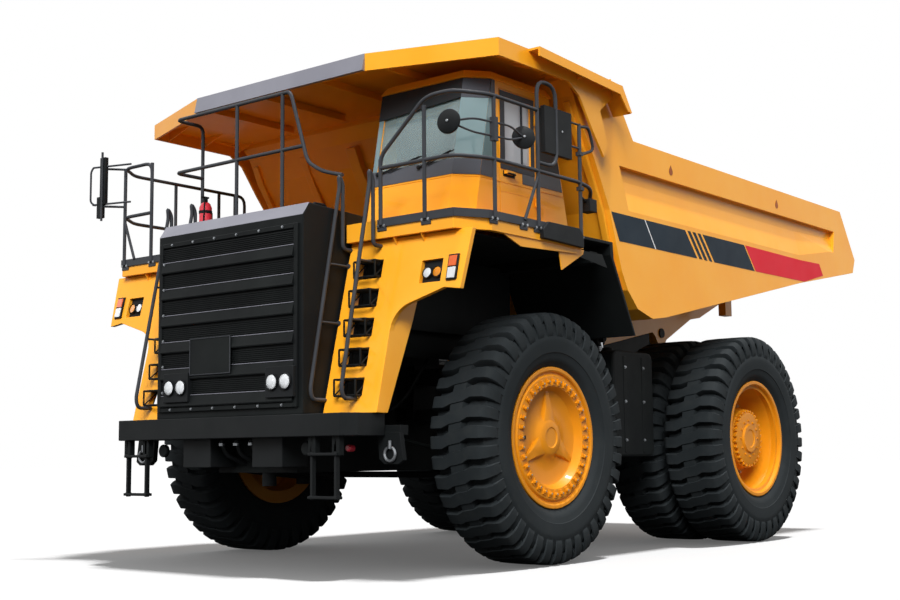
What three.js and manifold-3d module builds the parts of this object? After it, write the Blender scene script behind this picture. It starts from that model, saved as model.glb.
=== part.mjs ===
// Rigid mining dump truck: frame, power unit, cab, decks, dump body and hoist, on six wheels.
// Millimetres, +Z up, the front looks along -Y and +X is the truck's left.
// Every place below is measured from the ground under the front axle, and the whole truck
// is then moved back so that the origin is under the middle of its outline.

import * as THREE from 'three';
import { mergeGeometries, mergeVertices } from 'three/addons/utils/BufferGeometryUtils.js';
import Module from 'manifold-3d';

const wasm = await Module();
wasm.setup();

// ---------------------------------------------------------------- driving dimensions

const FIT = 0.3;               // gap between pieces that touch
const SWING = 10;              // gap beside a piece that moves
const WALK = 30;               // gap between panels that are bolted edge to edge

const WHEELBASE = 4407;
const TYRE_RADIUS = 1345;
const TYRE_WIDTH = 735;
const TYRE_SIDES = 32;
const RIM_SIDES = 20;
const TUBE_SIDES = 4;           // rails and handrails are drawn square
const RIM_RADIUS = 750;
const RIM_WIDTH = 600;
const RIM_BORE = 575;          // inner radius of a rim's barrel
const FRONT_TRACK = 4210;      // between the middles of the front tyres
const REAR_TRACK = 3734;       // between the middles of the twin wheels
const TWIN_PITCH = 840;        // between the two tyres of a twin wheel
const HUB_RADIUS = 345;        // planetary hub in the outer rear rim
const HUB_REACH = 220;         // how far the hub stands out of that rim's middle
const KINGPIN_X = 1300;
const STRUT_RADIUS = 165;

const RAIL_INNER = 340;        // inner face of a frame rail
const RAIL_OUTER = 600;
const RAIL_BOTTOM = 1000;
const FRAME_FRONT = -2035;
const SEAT_START_Y = 2100;     // the body's bolsters rest on the rails along one slope
const SEAT_START_Z = 2290;
const PIVOT_BEHIND = 1043;     // dump body's pivot pin behind the rear axle
const PIVOT_Y = WHEELBASE + PIVOT_BEHIND;
const PIVOT_Z = 2920;
const SEAT_SLOPE = (PIVOT_Z - SWING - SEAT_START_Z) / (PIVOT_Y - 250 - SEAT_START_Y);
const seatZ = (y) => SEAT_START_Z + (y - SEAT_START_Y) * SEAT_SLOPE;   // top of the frame rails
const PIVOT_PIN = 70;
const EAR_RADIUS = 190;        // frame's ear round the pivot pin
const EAR_POCKET = 212;        // room for the ear in the body's bolster
const BOLSTER_END = PIVOT_Y + 1900;
const HANGER_Y = PIVOT_Y + 1250;

const BUMPER_FRONT = -2546;
const BUMPER_HALF = 1816;
const BUMPER_NOSE = 1691;      // half width of the flat front face
const BUMPER_BOTTOM = 1358;
const BUMPER_TOP = 1578;

const GRILLE_HALF = 1122;
const GRILLE_FRONT = -2475;
const GRILLE_BACK = -1570;
const GRILLE_CHAMFER = 95;

const DECK_TOP = 3530;
const DECK_DEPTH = 190;
const GRILLE_TOP = DECK_TOP + 37;
const HOUSING_TOP = GRILLE_TOP + 140;   // top of the chamfer over the grille
const DECK_HALF = 2750;
const DECK_FRONT = -1880;
const DECK_BACK = 120;
const DECK_PLATE = 35;

const LADDER_LEAN = 0.241;     // how far the front fenders lean back for each unit of height
const LADDER_FOOT = -2222;     // y of the fender's front face at the bumper's top
const FENDER_PLATE = 60;
const FENDER_LEG = 1870;       // outer x of the fender's leg
const FENDER_WING = 2700;      // outer x of the fender's wing
const STEP_PITCH = 300;
const STEP_FIRST = 1740;       // bottom of the lowest step opening
const STEP_HEIGHT = 190;
const STEP_COUNT = Math.floor((DECK_TOP - 170 - STEP_FIRST - STEP_HEIGHT) / STEP_PITCH) + 1;
const STEP_INNER = 1330;
const STEP_OUTER = 1640;

const CAB_INNER = 1070;        // x of the cab's right wall
const CAB_OUTER = 2370;        // x of the cab's left wall
const CAB_CORNER = 190;        // width of the slanted front corner
const CAB_FRONT = -1500;       // y of the front wall at the floor
const CAB_BACK = 420;          // y of the rear wall at the floor
const CAB_FRONT_LEAN = 0.195;
const CAB_BACK_LEAN = -0.235;
const CAB_HEIGHT = 1515;       // deck to the underside of the roof
const CAB_WALL = 50;
const ROOF_THICK = 95;
const GLASS = 12;
const GLASS_LOW = 640;         // glass line above the cab's floor level
const GLASS_HIGH = 1400;
const DOOR_FRONT = -850;
const DOOR_BACK = -220;
const DOOR_SILL = 70;
const DOOR_TOP = 1440;

const BODY_HALF = 2600;        // half width over the side rails
const BODY_WALL = 100;
const BODY_SKIN = 60;          // floor and front wall plate
const RAIL_TOP_Z = 4785;       // top of the side rail
const CANOPY_HALF = 2720;
const CANOPY_GAP = 160;        // between the cab's roof and the canopy
const CANOPY_Z = DECK_TOP + CAB_HEIGHT + ROOF_THICK + CANOPY_GAP;   // underside of the canopy plate
const CANOPY_PLATE = 40;
const CANOPY_FRONT = -1785;
const CANOPY_STRAIGHT = 1330;  // half width of the straight part of the front lip
const CANOPY_SWEEP_Y = -1310;  // y where the swept front edge meets the side
const CANOPY_LIP = 185;
const WING_HALF = 2860;

const HOIST_X = 830;
const HOIST_FOOT = [WHEELBASE - 807, 1100];      // y, z of the barrel's pin
const HOIST_HEAD_Y = WHEELBASE - 1077;
const HOIST_HEAD = [HOIST_HEAD_Y, seatZ(HOIST_HEAD_Y) + 164];   // y, z of the rod's pin at rest
const HOIST_PIN_X = 715;             // inner end of the rod's pin, beside its bracket

const AXLE_Z = TYRE_RADIUS * Math.cos(Math.PI / TYRE_SIDES);
const TAIL_Y = PIVOT_Y + 2492;
const MIDDLE_Y = (BUMPER_FRONT + TAIL_Y) / 2;

// Underside of the front wall and floor seen from the side, from the canopy to the tail.
const WALL_HEAD = 80;          // y of the front wall's upper end
const WALL_FOOT = 1130;        // y of the front wall's lower end
const UNDERSIDE = [
  [WALL_HEAD, CANOPY_Z - 60], [WALL_HEAD + 130, CANOPY_Z - 220], [340, CANOPY_Z - 500],
  [600, 4440], [900, 3900],
  [WALL_FOOT - 70, 3400], [WALL_FOOT, 3220], [1250, 3010], [1460, 2810], [1790, 2720], [2110, 2762],
  [PIVOT_Y + 470, 3535], [PIVOT_Y + 2400, 3872],
];
const FLOOR_START = 9;         // index of the underside's lowest point, where the floor starts
const TAIL = [[TAIL_Y, 4080], [PIVOT_Y + 2230, 4450]];

// y of the front wall's outer face at a height.
function wallY(z) {
  const next = UNDERSIDE.findIndex(([, at]) => at <= z);
  const [[y0, z0], [y1, z1]] = [UNDERSIDE[next - 1], UNDERSIDE[next]];
  return y0 + (y1 - y0) * (z0 - z) / (z0 - z1);
}

const ARCH_GAP = 68.4;         // between a wheel arch and the body's front wall
const ARCH_BACK = wallY(DECK_TOP) - ARCH_GAP;   // rear end of the level part of a wheel arch
const BEAM_TOP = DECK_TOP - 125 - FIT;          // cross beam that carries the decks

// ---------------------------------------------------------------- finishes

const finish = (color, roughness, metalness) =>
  new THREE.MeshStandardMaterial({ color, roughness, metalness });

const YELLOW = finish('#f5a623', 0.42, 0.1);
const BLACK = finish('#1d2021', 0.6, 0.1);
const GREY = finish('#4b4d52', 0.5, 0.3);
const RUBBER = finish('#26292a', 0.9, 0);
const RIM_PAINT = finish('#e8921b', 0.5, 0.1);
const CAST = finish('#303335', 0.6, 0.4);
const STEEL = finish('#c9ccd0', 0.2, 0.9);
const GLAZING = finish('#7d979b', 0.1, 0);
const CLOTH = finish('#2c2e33', 0.9, 0);
const RED = finish('#c8374a', 0.4, 0.1);

// ---------------------------------------------------------------- joining and cutting

function solid(geometry) {
  const bare = new THREE.BufferGeometry();
  bare.setAttribute('position', geometry.getAttribute('position').clone());
  if (geometry.index) bare.setIndex(geometry.index.clone());
  const merged = mergeVertices(bare, 1e-3);
  return new wasm.Manifold(new wasm.Mesh({
    numProp: 3,
    vertProperties: new Float32Array(merged.getAttribute('position').array),
    triVerts: new Uint32Array(merged.index.array),
  }));
}

function geometryOf(manifold) {
  const mesh = manifold.getMesh();
  const geometry = new THREE.BufferGeometry();
  geometry.setAttribute('position', new THREE.BufferAttribute(new Float32Array(mesh.vertProperties), 3));
  geometry.setIndex(new THREE.BufferAttribute(new Uint32Array(mesh.triVerts), 1));
  return geometry;
}

function join(...pieces) {
  return geometryOf(pieces.flat().map(solid).reduce((whole, piece) => whole.add(piece)));
}

function cut(base, ...tools) {
  return geometryOf(tools.flat().map(solid).reduce((whole, tool) => whole.subtract(tool), solid(base)));
}

function mirrored(geometry) {
  const copy = mergeVertices(geometry.clone(), 1e-3);
  copy.scale(-1, 1, 1);
  const order = copy.index.array;
  for (let i = 0; i < order.length; i += 3) [order[i], order[i + 1]] = [order[i + 1], order[i]];
  return copy;
}

// ---------------------------------------------------------------- basic shapes

// Range of x between two distances from the middle, on the left (1) or the right (-1).
function span(side, inner, outer) {
  return side > 0 ? [inner, outer] : [-outer, -inner];
}

function box(x0, x1, y0, y1, z0, z1) {
  const block = new THREE.BoxGeometry(Math.abs(x1 - x0), Math.abs(y1 - y0), Math.abs(z1 - z0));
  return block.translate((x0 + x1) / 2, (y0 + y1) / 2, (z0 + z1) / 2);
}

// A round bar between two points.
function bar(from, to, radius, sides = 8) {
  const start = new THREE.Vector3(...from);
  const end = new THREE.Vector3(...to);
  const along = end.clone().sub(start);
  const shape = new THREE.CylinderGeometry(radius, radius, along.length(), sides);
  const turn = new THREE.Quaternion().setFromUnitVectors(new THREE.Vector3(0, 1, 0), along.normalize());
  const middle = start.add(end).multiplyScalar(0.5);
  return shape.applyQuaternion(turn).translate(middle.x, middle.y, middle.z);
}

// A bent rail: one bar for each straight run, each a little longer so that they meet in the bends.
function rail(points, radius, sides = TUBE_SIDES) {
  const last = points.length - 2;
  const bars = points.slice(1).map((point, i) => {
    const run = new THREE.Vector3(...point).sub(new THREE.Vector3(...points[i]));
    const extra = run.normalize().multiplyScalar(radius * 0.7);
    const start = new THREE.Vector3(...points[i]).sub(i > 0 ? extra : new THREE.Vector3());
    const end = new THREE.Vector3(...point).add(i < last ? extra : new THREE.Vector3());
    return bar(start.toArray(), end.toArray(), radius, sides);
  });
  return join(bars);
}

const outline = (points) => new THREE.Shape(points.map(([u, v]) => new THREE.Vector2(u, v)));
const prism = (points, depth) => new THREE.ExtrudeGeometry(outline(points), {
  depth, bevelEnabled: false, curveSegments: 12,
});

// Prisms of an outline drawn from the side (y, z), from the front (x, z) or from above (x, y).
const SIDE_VIEW = new THREE.Matrix4().makeBasis(
  new THREE.Vector3(0, 1, 0), new THREE.Vector3(0, 0, 1), new THREE.Vector3(1, 0, 0));
const FRONT_VIEW = new THREE.Matrix4().makeBasis(
  new THREE.Vector3(1, 0, 0), new THREE.Vector3(0, 0, 1), new THREE.Vector3(0, -1, 0));

const acrossX = (points, x0, x1) => prism(points, x1 - x0).applyMatrix4(SIDE_VIEW).translate(x0, 0, 0);
const acrossY = (points, y0, y1) => prism(points, y1 - y0).applyMatrix4(FRONT_VIEW).translate(0, y1, 0);
const acrossZ = (points, z0, z1) => prism(points, z1 - z0).translate(0, 0, z0);

// A closed body through two or more outlines that have the same number of points.
function loft(rings) {
  const count = rings[0].length;
  const positions = rings.flat(2);
  const index = [];
  for (let r = 0; r + 1 < rings.length; r += 1) {
    for (let i = 0; i < count; i += 1) {
      const a = r * count + i;
      const b = r * count + ((i + 1) % count);
      index.push(a, b, b + count, a, b + count, a + count);
    }
  }
  const last = (rings.length - 1) * count;
  for (let i = 1; i + 1 < count; i += 1) {
    index.push(0, i + 1, i);
    index.push(last, last + i, last + i + 1);
  }
  const geometry = new THREE.BufferGeometry();
  geometry.setAttribute('position', new THREE.Float32BufferAttribute(positions, 3));
  geometry.setIndex(index);
  const volume = signedVolume(geometry);
  if (volume < 0) {
    for (let i = 0; i < index.length; i += 3) [index[i], index[i + 1]] = [index[i + 1], index[i]];
    geometry.setIndex(index);
  }
  return geometry;
}

function signedVolume(geometry) {
  const place = geometry.getAttribute('position');
  const corner = (i) => new THREE.Vector3().fromBufferAttribute(place, i);
  let volume = 0;
  for (let i = 0; i < geometry.index.count; i += 3) {
    const [a, b, c] = [0, 1, 2].map((k) => corner(geometry.index.getX(i + k)));
    volume += a.dot(b.cross(c)) / 6;
  }
  return volume;
}

// A ring or disc turned about the x axis, from a closed outline of (x, radius) points.
function turned(points, sides) {
  const profile = points.map(([x, radius]) => new THREE.Vector2(radius, x));
  const shape = new THREE.LatheGeometry([...profile, profile[0].clone()], sides);
  shape.rotateZ(-Math.PI / 2);
  shape.rotateX(Math.PI / sides);
  return shape;
}

const arc = (cu, cv, radius, from, to, steps) => Array.from({ length: steps + 1 }, (_, i) => {
  const angle = THREE.MathUtils.degToRad(from + (to - from) * i / steps);
  return [cu + radius * Math.cos(angle), cv + radius * Math.sin(angle)];
});

// ---------------------------------------------------------------- wheels and axles

function tyre() {
  const half = TYRE_WIDTH / 2;
  const seat = RIM_WIDTH / 2 - 52;
  const bead = 660;
  return turned([
    [-seat, bead], [-seat, RIM_RADIUS + 8], [-half, 1000], [-half + 60, TYRE_RADIUS],
    [half - 60, TYRE_RADIUS], [half, 1000], [seat, RIM_RADIUS + 8], [seat, bead],
  ], TYRE_SIDES);
}

// A dished front rim with its hub cap; x points out of the truck.
function frontRim() {
  const edge = RIM_WIDTH / 2;
  const seat = 655;
  return turned([
    [edge, RIM_RADIUS], [edge, 690], [edge - 20, 670], [edge - 5, 650], [edge - 5, 550],
    [edge - 90, 500], [edge - 110, 300], [edge - 60, 150], [edge - 60, 0.01], [-120, 0.01],
    [-120, 230], [-30, RIM_BORE], [-edge, RIM_BORE + 30], [-edge, RIM_RADIUS],
    [-edge + 50, seat], [edge - 50, seat],
  ], RIM_SIDES);
}

// Both rims of a twin wheel on one planetary hub; x points out of the truck.
function rearRims() {
  const edge = RIM_WIDTH / 2;
  const seat = 655;
  const outer = TWIN_PITCH / 2;
  const inner = -TWIN_PITCH / 2;
  return turned([
    [outer + edge, RIM_RADIUS], [outer + edge, 700], [outer - 60, 590], [outer - 110, 400],
    [outer - 60, 370], [outer + HUB_REACH - 30, HUB_RADIUS], [outer + HUB_REACH, HUB_RADIUS - 15],
    [outer + HUB_REACH, 0.01], [outer - 190, 0.01],
    [outer - 190, RIM_BORE - 40], [inner - edge, RIM_BORE], [inner - edge, RIM_RADIUS],
    [inner - edge + 50, seat], [outer + edge - 50, seat],
  ], RIM_SIDES);
}

const SPINDLE_END = FRONT_TRACK / 2 - 120 - SWING;
const ARM_PIN = [KINGPIN_X, 520];
const TIE_ROD_Z = 935;

// Left steering knuckle: strut rod, spindle, brake carrier and steering arm.
function knuckle() {
  const post = bar([KINGPIN_X, 0, 830], [KINGPIN_X, 0, 1490], STRUT_RADIUS - 25, 12);
  const spindle = bar([KINGPIN_X, 0, AXLE_Z], [SPINDLE_END, 0, AXLE_Z], 150, 12);
  const carrier = bar([1690, 0, AXLE_Z], [1760, 0, AXLE_Z], 430, 20);
  const arm = acrossZ([
    [KINGPIN_X - 130, 0], [KINGPIN_X + 130, 0], [ARM_PIN[0] + 70, ARM_PIN[1] + 20],
    [ARM_PIN[0] - 70, ARM_PIN[1] + 20],
  ], TIE_ROD_Z + 60, TIE_ROD_Z + 130);
  const pin = bar([...ARM_PIN, TIE_ROD_Z - 60], [...ARM_PIN, TIE_ROD_Z + 70], 30, 12);
  return join(post, spindle, carrier, arm, pin);
}

function tieRod() {
  const [x, y] = ARM_PIN;
  const eye = (side) => bar([side * x, y, TIE_ROD_Z - 45], [side * x, y, TIE_ROD_Z + 45], 62, 16);
  const hole = (side) => bar([side * x, y, TIE_ROD_Z - 80], [side * x, y, TIE_ROD_Z + 80], 35, 16);
  const rod = bar([-x, y, TIE_ROD_Z], [x, y, TIE_ROD_Z], 38, 12);
  return cut(join(rod, eye(-1), eye(1)), hole(-1), hole(1));
}

// Banjo housing with its torque nose and rear suspension struts.
function rearAxle() {
  const hubEnd = REAR_TRACK / 2 + TWIN_PITCH / 2 - 190 - SWING;
  const half = [[0.01, 470], [260, 450], [420, 330], [560, 250], [1150, 240], [1160, 420], [hubEnd, 420]];
  const profile = [[hubEnd, 0.01], [-hubEnd, 0.01],
    ...half.map(([x, r]) => [-x, r]).reverse(), ...half.slice(1)];
  const housing = turned(profile, 16).translate(0, WHEELBASE, AXLE_Z);
  const nose = acrossZ([[-330, WHEELBASE - 200], [330, WHEELBASE - 200], [120, WHEELBASE - 1647],
    [-120, WHEELBASE - 1647]], AXLE_Z - 110, AXLE_Z + 110);
  const struts = [-1, 1].map((side) => join(
    bar([side * HOIST_X, WHEELBASE + 560, AXLE_Z + 140], [side * HOIST_X, WHEELBASE + 560, 2000], 130, 16),
    bar([side * HOIST_X, WHEELBASE + 560, 1990], [side * HOIST_X, WHEELBASE + 560, 2330], 95, 16),
    box(side * (HOIST_X - 110), side * (HOIST_X + 110), WHEELBASE + 80, WHEELBASE + 680,
      AXLE_Z + 60, AXLE_Z + 160),
  ));
  return join(housing, nose, struts);
}

// ---------------------------------------------------------------- frame and power unit

function mainFrame() {
  const side = [
    [FRAME_FRONT, RAIL_BOTTOM], [WHEELBASE - 2907, RAIL_BOTTOM], [WHEELBASE - 1507, 1850],
    [PIVOT_Y - 350, 2330], [PIVOT_Y - 350, seatZ(PIVOT_Y - 350)], [1300, seatZ(1300)],
    [450, 1650], [FRAME_FRONT, 1340],
  ];
  const ear = [
    [PIVOT_Y - 450, 2330], [PIVOT_Y + 10, PIVOT_Z - 250], ...arc(PIVOT_Y, PIVOT_Z, EAR_RADIUS, -60, 190, 14),
    [PIVOT_Y - 350, seatZ(PIVOT_Y - 350) - SWING], [PIVOT_Y - 450, seatZ(PIVOT_Y - 450) - SWING],
  ];
  const both = (build) => [build(1), build(-1)];
  const rails = both((s) => acrossX(side, ...span(s, RAIL_INNER, RAIL_OUTER)));
  const ears = both((s) => acrossX(ear, ...span(s, RAIL_INNER, RAIL_OUTER - 140)));
  const pins = both((s) => bar([s * (RAIL_INNER + 20), PIVOT_Y, PIVOT_Z],
    [s * (RAIL_OUTER + 20), PIVOT_Y, PIVOT_Z], PIVOT_PIN, 12));
  const collars = both((s) => acrossX([[-220, 1300], [220, 1300], [170, 2180], [-170, 2180]],
    ...span(s, RAIL_OUTER - 110, RAIL_OUTER)));
  const struts = both((s) => bar([s * KINGPIN_X, 0, 1500], [s * KINGPIN_X, 0, 2320], STRUT_RADIUS, 12));
  const brackets = both((s) => join(
    box(...span(s, RAIL_OUTER - 20, KINGPIN_X - 60), -130, 130, 1960, 2140),
    box(...span(s, RAIL_OUTER - 20, KINGPIN_X - 60), -130, 130, 1530, 1680),
  ));
  const ties = [
    box(-RAIL_INNER - 20, RAIL_INNER + 20, FRAME_FRONT, FRAME_FRONT + 140, RAIL_BOTTOM, 1330),
    box(-RAIL_INNER - 20, RAIL_INNER + 20, -160, 160, RAIL_BOTTOM, 1230),
    bar([-RAIL_INNER - 20, WHEELBASE - 1837, 1660], [RAIL_INNER + 20, WHEELBASE - 1837, 1660], 170, 12),
    bar([-RAIL_INNER - 20, PIVOT_Y - 470, 2560], [RAIL_INNER + 20, PIVOT_Y - 470, 2560], 140, 12),
  ];
  const posts = both((s) => box(...span(s, RAIL_OUTER - 120, RAIL_OUTER),
    ARCH_BACK - 330, ARCH_BACK - 170, 1500, BEAM_TOP));
  const beam = box(-2500, 2500, ARCH_BACK - 330, ARCH_BACK - 170, BEAM_TOP - 130, BEAM_TOP);
  const hoistFeet = both((s) => join(
    bar([s * (RAIL_OUTER - 20), ...HOIST_FOOT], [s * (HOIST_X + 130), ...HOIST_FOOT], 60, 16),
    bar([s * (RAIL_OUTER - 20), ...HOIST_FOOT], [s * (RAIL_OUTER + 40), ...HOIST_FOOT], 130, 16),
    acrossX([[HOIST_FOOT[0] - 130, HOIST_FOOT[1] - 150], [HOIST_FOOT[0] + 130, HOIST_FOOT[1] - 150],
      [HOIST_FOOT[0] + 230, seatZ(HOIST_FOOT[0]) - 400], [HOIST_FOOT[0] - 330, seatZ(HOIST_FOOT[0]) - 400]],
    ...span(s, RAIL_OUTER - 100, RAIL_OUTER)),
  ));
  const strutHeads = both((s) => box(...span(s, RAIL_OUTER - 20, HOIST_X + 120), WHEELBASE + 440,
    WHEELBASE + 660, 2330 + FIT, 2400));
  return join(rails, ears, pins, collars, struts, brackets, ties, posts, beam, hoistFeet, strutHeads);
}

function powerUnit() {
  const sump = box(-RAIL_INNER + 20, RAIL_INNER - 20, -1500, 1900, 1240, 1760);
  const block = box(-460, 460, -1450, 450, 1700, DECK_TOP - 830);
  return join(sump, block);
}

// ---------------------------------------------------------------- front end

function bumper() {
  const plan = [
    [-BUMPER_HALF, FRAME_FRONT - FIT], [-BUMPER_HALF, -2430], [-BUMPER_NOSE, BUMPER_FRONT],
    [BUMPER_NOSE, BUMPER_FRONT], [BUMPER_HALF, -2430], [BUMPER_HALF, FRAME_FRONT - FIT],
  ];
  const beam = acrossZ(plan, BUMPER_BOTTOM, BUMPER_TOP);
  const mounts = [-1, 1].map((s) => box(s * (RAIL_INNER - 20), s * (RAIL_OUTER + 160), -2400,
    FRAME_FRONT - FIT, 1060, BUMPER_BOTTOM + 10));
  const ladders = [-1, 1].map((s) => {
    const feet = [1255, 1575].map((x) => box(s * x, s * (x + 30), -2500, -2450, 745, BUMPER_BOTTOM + 10));
    const rungs = [755, 1170].map((z) => box(s * 1235, s * 1625, -2520, -2430, z, z + 30));
    return join(feet, rungs);
  });
  return join(beam, mounts, ladders);
}

// Height of the housing's top, which falls gently from the chamfer to the back.
const housingTopZ = (y) => THREE.MathUtils.mapLinear(y, GRILLE_FRONT + GRILLE_CHAMFER, GRILLE_BACK,
  HOUSING_TOP, HOUSING_TOP - 40);

function radiatorHousing() {
  const side = [
    [GRILLE_FRONT, BUMPER_TOP + FIT], [GRILLE_BACK, BUMPER_TOP + FIT],
    [GRILLE_BACK, housingTopZ(GRILLE_BACK)],
    [GRILLE_FRONT + GRILLE_CHAMFER, HOUSING_TOP], [GRILLE_FRONT, GRILLE_TOP],
  ];
  return acrossX(side, -GRILLE_HALF, GRILLE_HALF);
}

function engineHood() {
  return box(-CAB_INNER + WALK, CAB_INNER - WALK, GRILLE_BACK + FIT, ARCH_BACK - 350,
    DECK_TOP - 600, DECK_TOP + 20);
}

const leanY = (z) => LADDER_FOOT + (z - BUMPER_TOP) * LADDER_LEAN;

// Moves a piece that was drawn upright so that it leans back with the fender's front face.
function leaned(geometry) {
  const shear = new THREE.Matrix4().set(
    1, 0, 0, 0,
    0, 1, LADDER_LEAN, LADDER_FOOT - BUMPER_TOP * LADDER_LEAN,
    0, 0, 1, 0,
    0, 0, 0, 1,
  );
  return geometry.applyMatrix4(shear);
}

// Left front fender: ladder leg, wing with the lamp recess and the brace behind the leg.
function fender() {
  const inner = GRILLE_HALF + WALK;
  const top = DECK_TOP - DECK_DEPTH - FIT;
  const face = [
    [inner, BUMPER_TOP + FIT], [FENDER_LEG, BUMPER_TOP + FIT], [FENDER_LEG, DECK_TOP - 1200],
    ...arc(FENDER_LEG + 270, DECK_TOP - 1150, 270, 180, 105, 6), [FENDER_WING - 210, DECK_TOP - 765],
    [FENDER_WING - 10, DECK_TOP - 795],
    [FENDER_WING + 40, top], [inner, top],
  ];
  const plate = leaned(acrossY(face, 0, FENDER_PLATE));
  const steps = Array.from({ length: STEP_COUNT }, (_, i) => {
    const low = STEP_FIRST + i * STEP_PITCH;
    return leaned(box(STEP_INNER, STEP_OUTER, -20, FENDER_PLATE + 20, low, low + STEP_HEIGHT));
  });
  const recess = leaned(box(2160, 2430, -20, FENDER_PLATE - 10, DECK_TOP - 700, DECK_TOP - 470));
  const brace = acrossX([
    [leanY(BUMPER_TOP) + 20, BUMPER_TOP + FIT], [leanY(BUMPER_TOP) + 170, BUMPER_TOP + FIT],
    [leanY(DECK_TOP - 1030) + 330, DECK_TOP - 1030], [leanY(top) + 420, top], [leanY(top) + 20, top],
  ], FENDER_LEG - 60, FENDER_LEG);
  return cut(join(plate, brace), steps, recess);
}

// Ends of the handrails, which lean back from the fender's foot to the front of the deck.
const HAND_LOW = BUMPER_TOP + 212;
const HAND_HIGH = DECK_TOP + 400;
const HAND_END = DECK_TOP - 260;   // where the handrail's short leg meets the fender
const HAND_AHEAD = 105;           // between the deck's edge and a handrail's upper end
const HAND_OUT = 240;                 // between the fender and a handrail's lower end
const handY = (z) => THREE.MathUtils.mapLinear(z, HAND_LOW, HAND_HIGH, leanY(HAND_LOW) - HAND_OUT,
  DECK_FRONT - HAND_AHEAD);

// Left access ladder: step frames in the fender's openings and the two handrails.
function ladder() {
  const proud = 70;
  const rod = 22;
  const handX = [STEP_INNER - 170, STEP_OUTER - 60];
  const handrails = handX.map((x) => rail([
    [x, leanY(HAND_LOW - 50) - rod, HAND_LOW - 50],
    [x, handY(HAND_LOW), HAND_LOW],
    [x, handY(HAND_HIGH), HAND_HIGH],
    [x, DECK_FRONT - 130, HAND_HIGH + 110],
    [x, DECK_FRONT - 60, HAND_HIGH + 30],
    [x, DECK_FRONT - 60, HAND_END],
    [x, leanY(HAND_END) - 8, HAND_END],
  ], rod));
  const steps = Array.from({ length: STEP_COUNT }, (_, i) => {
    const low = STEP_FIRST + i * STEP_PITCH;
    const frame = leaned(box(STEP_INNER + 4, STEP_OUTER - 4, -proud, FENDER_PLATE + 60, low + 4,
      low + STEP_HEIGHT - 4));
    const hollow = leaned(box(STEP_INNER + 34, STEP_OUTER - 34, -proud - 20, FENDER_PLATE + 90, low + 34,
      low + STEP_HEIGHT - 30));
    return cut(frame, hollow);
  });
  const stays = Array.from({ length: STEP_COUNT }, (_, i) => {
    const z = STEP_FIRST + i * STEP_PITCH + STEP_HEIGHT - 18;
    const y = leanY(z) - proud + 14;
    const cross = bar([handX[0], y, z], [handX[1], y, z], 12, TUBE_SIDES);
    const arms = handX.map((x) => bar([x, y + 10, z], [x, handY(z), z], 12, TUBE_SIDES));
    return i % 2 === 0 ? [cross, ...arms] : [cross, arms[1]];
  });
  return join(handrails, steps, stays.flat());
}

// ---------------------------------------------------------------- decks, arches and railings

function deckPlan(inset) {
  const inner = CAB_INNER + inset;
  return [
    [GRILLE_HALF + WALK + inset, DECK_FRONT + inset], [DECK_HALF - 180 - inset * 0.4, DECK_FRONT + inset],
    [DECK_HALF - inset, DECK_FRONT + 380 + inset * 0.4], [DECK_HALF - inset, DECK_BACK - inset],
    [inner, DECK_BACK - inset], [inner, GRILLE_BACK + WALK + inset],
    [GRILLE_HALF + WALK + inset, GRILLE_BACK + WALK + inset],
  ];
}

function deck() {
  const slab = acrossZ(deckPlan(0), DECK_TOP - DECK_DEPTH, DECK_TOP);
  const pocket = acrossZ(deckPlan(60), DECK_TOP - DECK_DEPTH - 10, DECK_TOP - DECK_PLATE);
  const ribs = [1500, 2050].map((x) => box(x, x + 30, DECK_FRONT + 20, DECK_BACK - 20,
    DECK_TOP - DECK_DEPTH + 20, DECK_TOP - 10));
  return join(cut(slab, pocket), ribs);
}

// Left wheel arch: a level shelf behind the deck and a guard that slopes down behind the wheel.
function arch() {
  const top = DECK_TOP - DECK_PLATE;
  const shelf = box(CAB_INNER, 2600, DECK_BACK + FIT, ARCH_BACK, top, DECK_TOP);
  const guard = acrossX([
    [ARCH_BACK - 20, DECK_TOP], [ARCH_BACK - 60, DECK_TOP - 10], [ARCH_BACK - 60, DECK_TOP - 150],
    [TYRE_RADIUS + 25, AXLE_Z + 1160], [TYRE_RADIUS + 55, AXLE_Z + 1160],
    [ARCH_BACK + 10, DECK_TOP - 190], [ARCH_BACK, DECK_TOP],
  ], CAB_INNER, 2600);
  return join(shelf, guard);
}

const RAIL_TUBE = 22;
const POST_X = DECK_HALF + RAIL_TUBE;
const POST_Y = DECK_FRONT - RAIL_TUBE;
const POST_FOOT = DECK_TOP - 60;
const LEFT_POST = STEP_OUTER + 10;   // first post beside the left ladder
const TOE = [-80, 20];                // lower and upper edge of a toe board, from the deck's top

const SECOND_POST = 2230;

const upright = (x, y, low, high) => bar([x, y, low], [x, y, high], RAIL_TUBE, TUBE_SIDES);

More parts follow.
